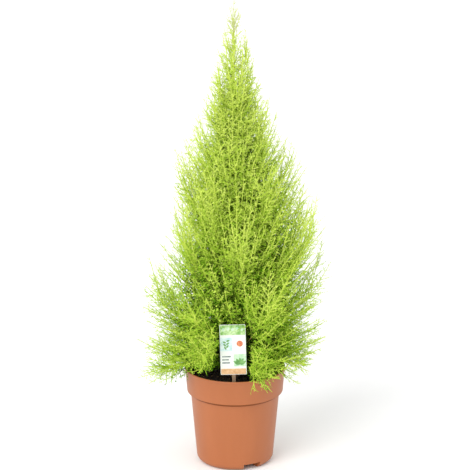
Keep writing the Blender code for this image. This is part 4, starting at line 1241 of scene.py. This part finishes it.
def bark_tube(points, radii, sides, relief, chance):
    """A limb whose surface has long fibrous ridges: vertices and quads."""
    rings = len(points)
    angles = np.linspace(0.0, 2.0 * math.pi, sides, endpoint=False)
    ridges = np.zeros((rings, sides))
    lift = np.linspace(0.0, 1.0, rings)[:, None]
    for _wave in range(RIDGE_WAVES):
        turns = chance.integers(2, sides // 2)
        twist = chance.normal(0.0, RIDGE_TWIST)
        rate = chance.uniform(*RIDGE_RATES)
        phase = chance.uniform(0.0, PHASE_TURN)
        wave = np.sin(turns * angles + twist * RIDGE_WINDING * lift + phase)
        phase = chance.uniform(0.0, PHASE_TURN)
        ridges += wave * (RIDGE_STEADY + RIDGE_FADING * np.sin(rate * PHASE_TURN * lift + phase))
    ridges = ridges / RIDGE_SOFTENING + chance.normal(0.0, RIDGE_GRAIN, (rings, sides))
    vertices = []
    for ring, centre in enumerate(points):
        ahead = points[min(ring + 1, rings - 1)] - points[max(ring - 1, 0)]
        for spoke, ridge in zip(spokes(*cross_frame(ahead), angles), ridges[ring]):
            vertices.append(centre + spoke * (radii[ring] * (1.0 + relief * ridge)))
    return np.array(vertices), tube_faces(rings, sides)


def make_trunk(chance, bark):
    """The trunk with the relief of bark, green towards its tip."""
    shares = np.linspace(0.0, 1.0, TRUNK_BARK_RINGS) ** TRUNK_BARK_POWER
    heights = shares * (TRUNK_TIP_HEIGHT - SOIL_TOP) + SOIL_TOP - TRUNK_SINK
    centres = [trunk_centre(height) for height in heights]
    radii = [trunk_radius(max(height, SOIL_TOP)) * TRUNK_BARK_SCALE for height in heights]
    vertices, faces = bark_tube(centres, radii, TRUNK_BARK_SIDES, BARK_RELIEF, chance)
    green_bark = plain_material("bark_young", YOUNG_BARK, WOOD_ROUGHNESS)
    tones = np.repeat((heights[1:] > YOUNG_BARK_HEIGHT).astype(int), TRUNK_BARK_SIDES)
    place(array_mesh("trunk_bark", [bark, green_bark], vertices, faces, tones, smooth=True), "bark", "trunk")


def make_boughs(plumes, chance, bark):
    """The boughs of the low plumes, which start a little inside the trunk's bark."""
    carried = [plume for plume in plumes if plume["share"] > 0.0]
    parts = []
    for plume in carried:
        line = line_along(plume["path"], np.linspace(0.0, plume["share"] + BOUGH_PAST, BOUGH_BARK_RINGS))
        line[0] -= unit(line[1] - line[0]) * BOUGH_SINK
        radii = np.linspace(BOUGH_FOOT_RADIUS, BOUGH_TIP_RADIUS, BOUGH_BARK_RINGS)
        points, corners = bark_tube(line, radii, BOUGH_BARK_SIDES, BOUGH_RELIEF, chance)
        parts.append((points, corners, np.zeros(len(corners), int)))
    vertices, faces, _tones = stack_meshes(parts)
    boughs = array_mesh("boughs_bark", [bark], vertices, faces, smooth=True)
    place(boughs, "bark", *(f"bough_{plume['name']}" for plume in carried))


def make_stems(plumes, chance):
    """The plumes' stems: bark at the foot, green further out and grey at the crown's tip."""
    materials = [named_grain("stem_bark")]
    materials += [plain_material("stem_young", YOUNG_TWIG), plain_material("stem_grey", TIP_GREY)]
    parts = []
    for plume in plumes:
        start = plume["share"]
        line = line_along(plume["path"], np.linspace(start, 1.0, STEM_BARK_RINGS))
        if start == 0.0:
            line[0] -= unit(line[1] - line[0]) * STEM_SINK
        radii = np.linspace(STEM_FOOT_RADIUS, STEM_END_RADIUS, STEM_BARK_RINGS)
        points, corners = bark_tube(line, radii, STEM_BARK_SIDES, BARK_RELIEF, chance)
        heights = line[1:, 2]
        shares = np.linspace(start, 1.0, STEM_BARK_RINGS - 1)
        fresh = ((shares > YOUNG_STEM_SHARE) | (heights > YOUNG_BARK_HEIGHT)).astype(int)
        parts.append((points, corners, np.repeat(fresh + (heights > GREY_TWIG_HEIGHT), STEM_BARK_SIDES)))
    place(array_mesh("plume_stems", materials, *stack_meshes(parts), smooth=True), "bark")


def make_limbs(plumes):
    """Trunk, boughs and the plumes' stems."""
    chance = np.random.default_rng(BARK_SEED)
    bark = named_grain("bark")
    make_trunk(chance, bark)
    make_boughs(plumes, chance, bark)
    make_stems(plumes, chance)


# Pot and peat.


def turned_mesh(name, profile, segments, materials):
    """A closed profile of (radius, height) points turned about the Z axis."""
    vertices = []
    rings = []
    for radius, height in profile:
        first = len(vertices)
        count = 1 if radius == 0.0 else segments
        vertices += [(x, y, height) for x, y in arc(0.0, 0.0, radius, circle(segments)[:count])]
        rings.append([first + step % count for step in range(segments)])
    faces = []
    for lower, upper in zip(rings, rings[1:] + rings[:1]):
        for step in range(segments):
            following = (step + 1) % segments
            face = list(dict.fromkeys([lower[step], lower[following], upper[following], upper[step]]))
            if len(face) > 2:
                faces.append(face)
    return list_mesh(name, materials, vertices, faces)


def plate(name, materials, low, high):
    """A solid between two outlines with as many points each."""
    count = len(low)
    faces = [list(range(count)), list(range(count, 2 * count)), *tube_faces(2, count).tolist()]
    return list_mesh(name, materials, [*low, *high], faces)


def prism(name, outline, bottom, top):
    """An upright prism on a flat outline of (x, y) points."""
    return plate(name, [], [(x, y, bottom) for x, y in outline], [(x, y, top) for x, y in outline])


def body_radius(height):
    """Outer radius of the pot's tapering body."""
    share = (height - FOOT_ROUNDING) / (SHOULDER - FOOT_ROUNDING)
    return BODY_FOOT_RADIUS + (BODY_TOP_RADIUS - BODY_FOOT_RADIUS) * share


def rounded(points, radius):
    """A line of (radius, height) points with its inner corners rounded."""
    smooth = [points[0]]
    for before, corner, after in zip(points, points[1:], points[2:]):
        corner, before, after = (np.array(point) for point in (corner, before, after))
        back = before - corner
        on = after - corner
        reach = min(radius, ROUNDING_LIMIT * np.linalg.norm(back), ROUNDING_LIMIT * np.linalg.norm(on))
        start = corner + unit(back) * reach
        end = corner + unit(on) * reach
        for step in range(ROUNDING_STEPS + 1):
            share = step / ROUNDING_STEPS
            curve = start * (1 - share) ** 2 + corner * 2 * share * (1 - share) + end * share ** 2
            smooth.append(tuple(curve))
    smooth.append(points[-1])
    return smooth


def pot_profile():
    """The pot's section as (radius, height) points, from the middle of its underside round."""
    foot = []
    for step in range(FOOT_STEPS + 1):
        angle = math.radians(90.0 * step / FOOT_STEPS)
        radius = BODY_FOOT_RADIUS - FOOT_ROUNDING + FOOT_ROUNDING * math.sin(angle)
        foot.append((radius, FOOT_ROUNDING * (1.0 - math.cos(angle))))
    shell = rounded([
        foot[-1],
        (BODY_TOP_RADIUS, SHOULDER),
        (COLLAR_FOOT_RADIUS, COLLAR_FOOT),
        (RIM_RADIUS - LIP_OVERHANG, POT_HEIGHT - LIP_DEPTH),
        (RIM_RADIUS, POT_HEIGHT - LIP_DEPTH + LIP_SLOPE),
        (RIM_RADIUS, POT_HEIGHT),
        (RIM_RADIUS - LIP_OVERHANG - POT_WALL, POT_HEIGHT),
        (COLLAR_FOOT_RADIUS - POT_WALL, COLLAR_FOOT + POT_WALL),
        (BODY_TOP_RADIUS - POT_WALL, SHOULDER + POT_WALL),
        (body_radius(POT_FLOOR_TOP) - POT_WALL, POT_FLOOR_TOP),
        (0.0, POT_FLOOR_TOP),
    ], POT_EDGE)
    return [
        (0.0, 0.0), (HUB_RADIUS, 0.0), (HUB_RADIUS + RECESS_SLOPE, RECESS_HEIGHT),
        (FOOT_RING_INNER, RECESS_HEIGHT), (FOOT_RING_INNER + RECESS_SLOPE, 0.0), *foot[:-1], *shell,
    ]


def pot_cutters():
    """Prisms where the foot's notches and the drain holes go."""
    cutters = []
    for azimuth in NOTCH_AZIMUTHS:
        shares = np.linspace(-1.0, 1.0, NOTCH_POINTS)
        angles = [math.radians(azimuth + NOTCH_HALF_WIDTH * share) for share in shares]
        outline = arc(0.0, 0.0, NOTCH_INNER, angles) + arc(0.0, 0.0, NOTCH_OUTER, reversed(angles))
        cutters.append(prism("notch", outline, -CUTTER_MARGIN, NOTCH_HEIGHT))
    azimuths = [2.0 * math.pi * (index + 0.5) / DRAIN_COUNT for index in range(DRAIN_COUNT)]
    for x, y in arc(0.0, 0.0, DRAIN_CIRCLE, azimuths):
        outline = arc(x, y, DRAIN_RADIUS, circle(DRAIN_SIDES))
        cutters.append(prism("drain", outline, RECESS_HEIGHT - CUTTER_MARGIN, POT_FLOOR_TOP + CUTTER_MARGIN))
    return cutters


def make_pot():
    """The moulded pot with rounded edges, foot ring, notches and drain holes, and painted shade under its
    collar.
    """
    materials = [named_grain("terracotta_plastic"), plain_material("terracotta_painted_shade", PAINTED_SHADE_PLASTIC)]
    pot = turned_mesh("pot_shell", pot_profile(), POT_SEGMENTS, materials)
    cutters = pot_cutters()
    for cutter in cutters:
        modifier = pot.modifiers.new("cut", "BOOLEAN")
        modifier.operation = "DIFFERENCE"
        modifier.solver = "EXACT"
        modifier.object = cutter
    mesh = bpy.data.meshes.new_from_object(pot.evaluated_get(bpy.context.evaluated_depsgraph_get()))
    pot.modifiers.clear()
    pot.data = mesh
    for cutter in cutters:
        bpy.data.objects.remove(cutter, do_unlink=True)
    # Painted shade: the slope under the collar is darker, standing in for the shadow that the collar casts
    # on it.
    for face in mesh.polygons:
        outside = math.hypot(face.center.x, face.center.y) > BODY_TOP_RADIUS - POT_WALL / 4.0
        if outside and abs(face.center.z - COLLAR_FOOT + SHOULDER_DROP / 2.0) < SHOULDER_DROP / 2.0:
            face.material_index = 1
    mesh.shade_smooth()
    mesh.set_sharp_from_angle(angle=math.radians(POT_SHARP_ANGLE))
    place(pot, "pot_terracotta", "pot")


def soil_height(x, y, waves):
    """Height of the soil's surface, with small hills."""
    height = SOIL_TOP - SOIL_SINK - SOIL_EDGE_DROP * (np.hypot(x, y) / RIM_RADIUS) ** 2
    for rate, angle, phase, size in waves:
        height = height + size * np.sin(rate * (x * math.cos(angle) + y * math.sin(angle)) + phase)
    return height


def make_soil():
    """The root ball, rough on top, and crumbs of peat on it."""
    draw = np.random.default_rng(SOIL_SEED)
    waves = [
        (rate, draw.uniform(0.0, PHASE_TURN), draw.uniform(0.0, PHASE_TURN), size)
        for rate, size in SOIL_WAVES
        for _repeat in range(2)
    ]
    peat = named_grain("peat")
    edge = SOIL_TOP - SOIL_EDGE_DROP - SOIL_EDGE_ROOM
    share = (edge - COLLAR_FOOT - POT_WALL) / (POT_HEIGHT - COLLAR_FOOT - POT_WALL)
    foot_radius = COLLAR_FOOT_RADIUS - POT_WALL
    edge_radius = foot_radius + (RIM_RADIUS - LIP_OVERHANG - POT_WALL - foot_radius) * share - TOUCH_GAP
    profile = [
        (0.0, POT_FLOOR_TOP + TOUCH_GAP),
        (body_radius(POT_FLOOR_TOP) - POT_WALL - SOIL_FOOT_ROOM, POT_FLOOR_TOP + TOUCH_GAP),
        (BODY_TOP_RADIUS - POT_WALL - TOUCH_GAP, SHOULDER),
        (foot_radius - TOUCH_GAP, COLLAR_FOOT + POT_WALL),
        (edge_radius, edge - SOIL_EDGE_HEIGHT),
    ]
    rings = np.linspace(edge_radius, SOIL_INNER_RING, SOIL_RINGS)
    profile += [(radius, SOIL_TOP) for radius in rings] + [(0.0, SOIL_TOP)]
    soil = turned_mesh("peat_ball", profile, SOIL_SEGMENTS, [peat])
    rough = draw.normal(0.0, SOIL_GRAIN, len(soil.data.vertices))
    for grain, vertex in zip(rough, soil.data.vertices):
        if vertex.co.z > SOIL_TOP - SOIL_TOP_DEPTH:
            vertex.co.z = float(soil_height(vertex.co.x, vertex.co.y, waves)) + grain
    soil.data.shade_smooth()
    place(soil, "soil", "soil")
    make_crumbs(draw, waves, edge_radius, peat)


def make_crumbs(draw, waves, edge_radius, peat):
    """Loose crumbs and fibres on the peat."""
    base = bmesh.new()
    bmesh.ops.create_icosphere(base, subdivisions=1, radius=1.0)
    points = np.array([vertex.co[:] for vertex in base.verts])
    faces = np.array([[vertex.index for vertex in face.verts] for face in base.faces])
    base.free()
    parts = []
    for number in range(CRUMB_COUNT):
        radius = (edge_radius - CRUMB_EDGE_ROOM) * math.sqrt(draw.random())
        angle = draw.uniform(0.0, 2.0 * math.pi)
        x, y = radius * math.cos(angle), radius * math.sin(angle)
        by_stem = abs(x - LABEL_X) < CRUMB_STEM_ROOM[0] and abs(y - LABEL_Y) < CRUMB_STEM_ROOM[1]
        if radius < CRUMB_TRUNK_ROOM or by_stem:
            continue
        size = CRUMB_LEAST + CRUMB_RANGE * draw.random() ** CRUMB_POWER
        stretch = np.array([draw.uniform(*limits) for limits in CRUMB_STRETCH]) * size
        turn = draw.uniform(0.0, 2.0 * math.pi)
        shape = points * stretch * draw.uniform(*CRUMB_ROUGHNESS, (len(points), 1))
        turned_x = shape[:, 0] * math.cos(turn) - shape[:, 1] * math.sin(turn)
        turned_y = shape[:, 0] * math.sin(turn) + shape[:, 1] * math.cos(turn)
        height = float(soil_height(x, y, waves)) + size * CRUMB_LIFT
        vertices = np.column_stack([turned_x + x, turned_y + y, shape[:, 2] + height])
        parts.append((vertices, faces, np.full(len(faces), number % FIBRE_EACH == 0, int)))
    crumbs = array_mesh("peat_crumbs", [peat, named_grain("peat_fibre")], *stack_meshes(parts))
    place(crumbs, "soil")


# Plant label.


def on_label(x, z, y=0.0):
    """A point of the leaning label from its own flat coordinates; y is towards the front."""
    turn_x, turn_z = math.cos(LABEL_TILT), math.sin(LABEL_TILT)
    rise = z - SOIL_TOP
    return (LABEL_X + x * turn_x - rise * turn_z, LABEL_Y - y, SOIL_TOP + x * turn_z + rise * turn_x)


def label_solid(name, material, outline, half):
    """A flat plate of an outline in the label's plane."""
    front, back = ([on_label(x, z, side) for x, z in outline] for side in (half, -half))
    return plate(name, [material], front, back)


def card_outline(inset=0.0, low=0.0, high=1.0):
    """Outline of the card between two shares of its height, with the card's own corners rounded."""
    half = CARD_WIDTH / 2.0 - inset
    bottom, top = (
        CARD_FOOT_HEIGHT + inset + (CARD_HEIGHT - 2.0 * inset) * share for share in (low, high))
    corner = CARD_CORNER
    outline = []
    for x, z, first, is_round in (
        (half - corner, bottom + corner, -90.0, low == 0.0),
        (half - corner, top - corner, 0.0, high == 1.0),
        (-half + corner, top - corner, 90.0, high == 1.0),
        (-half + corner, bottom + corner, 180.0, low == 0.0),
    ):
        if is_round:
            steps = [90.0 * step / CARD_CORNER_STEPS for step in range(CARD_CORNER_STEPS + 1)]
            outline += arc(x, z, corner, [math.radians(first + step) for step in steps])
        else:
            angle = math.radians(first + 45.0)
            to_side = math.copysign(corner, math.cos(angle))
            outline.append((x + to_side, z + math.copysign(corner, math.sin(angle))))
    return outline


def make_label():
    """The printed card and its stem."""
    half = CARD_THICKNESS / 2.0
    card = label_solid("label_card", named_grain("label_card"), card_outline(), half)
    bevel = card.modifiers.new("edge", "BEVEL")
    bevel.width = CARD_EDGE
    bevel.segments = 2
    place(card, "label", "plant_label")
    plastic = named_grain("label_stem")
    side = STEM_WIDTH / 2.0
    top = CARD_FOOT_HEIGHT + STEM_BEHIND_CARD
    outline = [
        (STEM_POINT_HALF_WIDTH, STEM_FOOT), (side, STEM_FOOT + STEM_POINT_LENGTH), (side, top),
        (-side, top), (-side, STEM_FOOT + STEM_POINT_LENGTH), (-STEM_POINT_HALF_WIDTH, STEM_FOOT),
    ]
    place(label_solid("label_stem", plastic, outline, half * STEM_THICKNESS_SHARE), "label")
    low, high = STEM_FOOT + RIB_FOOT_RISE, CARD_FOOT_HEIGHT - RIB_TOP_DROP
    side = RIB_HALF_WIDTH
    outline = [(side, low), (side, high), (-side, high), (-side, low)]
    place(label_solid("label_stem_rib", plastic, outline, half * RIB_THICKNESS_SHARE), "label")
    make_print(half)


def disc(x, z, radius):
    """A round outline."""
    return arc(x, z, radius, circle(DISC_SIDES))


def leaf(x, z, length, turn):
    """A pointed leaf outline that starts at a point."""
    outline = []
    for side in (1.0, -1.0):
        for step in range(LEAF_STEPS + 1):
            share = step / LEAF_STEPS if side > 0 else 1.0 - step / LEAF_STEPS
            out = length * share
            aside = side * length * LEAF_WIDTH_SHARE * math.sin(math.pi * share ** LEAF_BULGE)
            outline.append((
                x + out * math.cos(turn) - aside * math.sin(turn),
                z + out * math.sin(turn) + aside * math.cos(turn),
            ))
    return outline


def bar(x, z, width, height):
    """An upright rectangle with its lower left corner at a point."""
    return [(x, z), (x + width, z), (x + width, z + height), (x, z + height)]


def print_shapes():
    """The print's colours, outlines and layers: bands, leaves, dots and bars."""
    foot, top = CARD_FOOT_HEIGHT, CARD_FOOT_HEIGHT + CARD_HEIGHT
    shapes = [
        ("print_green", card_outline(PRINT_INSET, 0.80, 1.0), 1),
        ("print_peach", card_outline(PRINT_INSET, 0.0, 0.115), 1),
        ("print_sky", bar(-0.0235, foot + 0.046, 0.022, 0.026), 1),
        ("print_mint", bar(0.001, foot + 0.016, 0.0225, 0.024), 1),
        ("print_orange", disc(0.0125, foot + 0.060, 0.0058), 2),
    ]
    for rise, width in ((0.034, 0.016), (0.028, 0.012), (0.022, 0.014)):
        shapes.append(("print_grey", bar(-0.0205, foot + rise, width, 0.0024), 1))
    for index in range(5):
        x = -0.017 + 0.0085 * index
        shapes.append(("print_mint", disc(x, top - 0.0095 + 0.0015 * (index % 2), 0.0030), 2))
    for index in range(6):
        turn = math.radians(90.0 + (30.0 + 9.0 * index) * (-1.0) ** index)
        z = foot + 0.049 + 0.0032 * index
        shapes.append(("print_leaf", leaf(-0.0125, z, 0.0075, turn), 2 + index))
    for index in range(5):
        turn = math.radians(30.0 + 30.0 * index)
        shapes.append(("print_leaf", leaf(0.012, foot + 0.0195, 0.014, turn), 2 + index))
    return shapes


def make_print(half):
    """A plain decorative print in soft colours on the card's front."""
    names = list(PRINT_COLOURS)
    materials = [
        grained_material(name, ((0.38, dark), (0.62, pale)), *PRINT_GRAIN)
        for name, (dark, pale) in PRINT_COLOURS.items()
    ]
    vertices, faces, shades = [], [], []
    for name, outline, layer in print_shapes():
        faces.append([len(vertices) + step for step in range(len(outline))])
        vertices += [on_label(x, z, half + PRINT_LIFT * layer) for x, z in outline]
        shades.append(names.index(name))
    place(list_mesh("label_print", materials, vertices, faces, shades, outward=False), "label")


# Stage.


def make_stage():
    """Floor, soft studio light and the camera."""
    corners = [(x, y, 0.0) for x, y in bar(-FLOOR_HALF, -FLOOR_HALF, 2.0 * FLOOR_HALF, 2.0 * FLOOR_HALF)]
    floor = array_mesh("floor", [named_grain("floor")], corners, [(0, 1, 2, 3)])
    world = bpy.data.worlds.new("studio")
    world.use_nodes = True
    set_inputs(world.node_tree.nodes["Background"], Color=(1.0, 1.0, 1.0, 1.0), Strength=1.0)
    bpy.context.scene.world = world
    for name, origin, strength, spread in LIGHTS:
        soft_light(name, origin, strength, spread)
    camera_data = bpy.data.cameras.new("camera")
    camera_data.lens = CAMERA_LENS
    camera_data.sensor_width = CAMERA_SENSOR
    camera = linked("camera", camera_data)
    camera.location = CAMERA_PLACE
    camera.rotation_euler = (math.radians(90.0 - CAMERA_PITCH), 0.0, 0.0)
    bpy.context.scene.camera = camera
    bpy.context.scene.view_settings.view_transform = "Standard"


def soft_light(name, origin, strength, spread):
    """A wide even light that comes from a direction."""
    data = bpy.data.lights.new(name, "SUN")
    data.energy = strength
    data.angle = math.radians(spread)
    light = linked(name, data)
    light.location = origin
    light.rotation_euler = (-Vector(origin)).to_track_quat("-Z", "Y").to_euler()


make_stage()
make_pot()
make_soil()
make_label()
plumes = plan_plumes()
make_limbs(plumes)
make_foliage(plumes, Space(plumes))
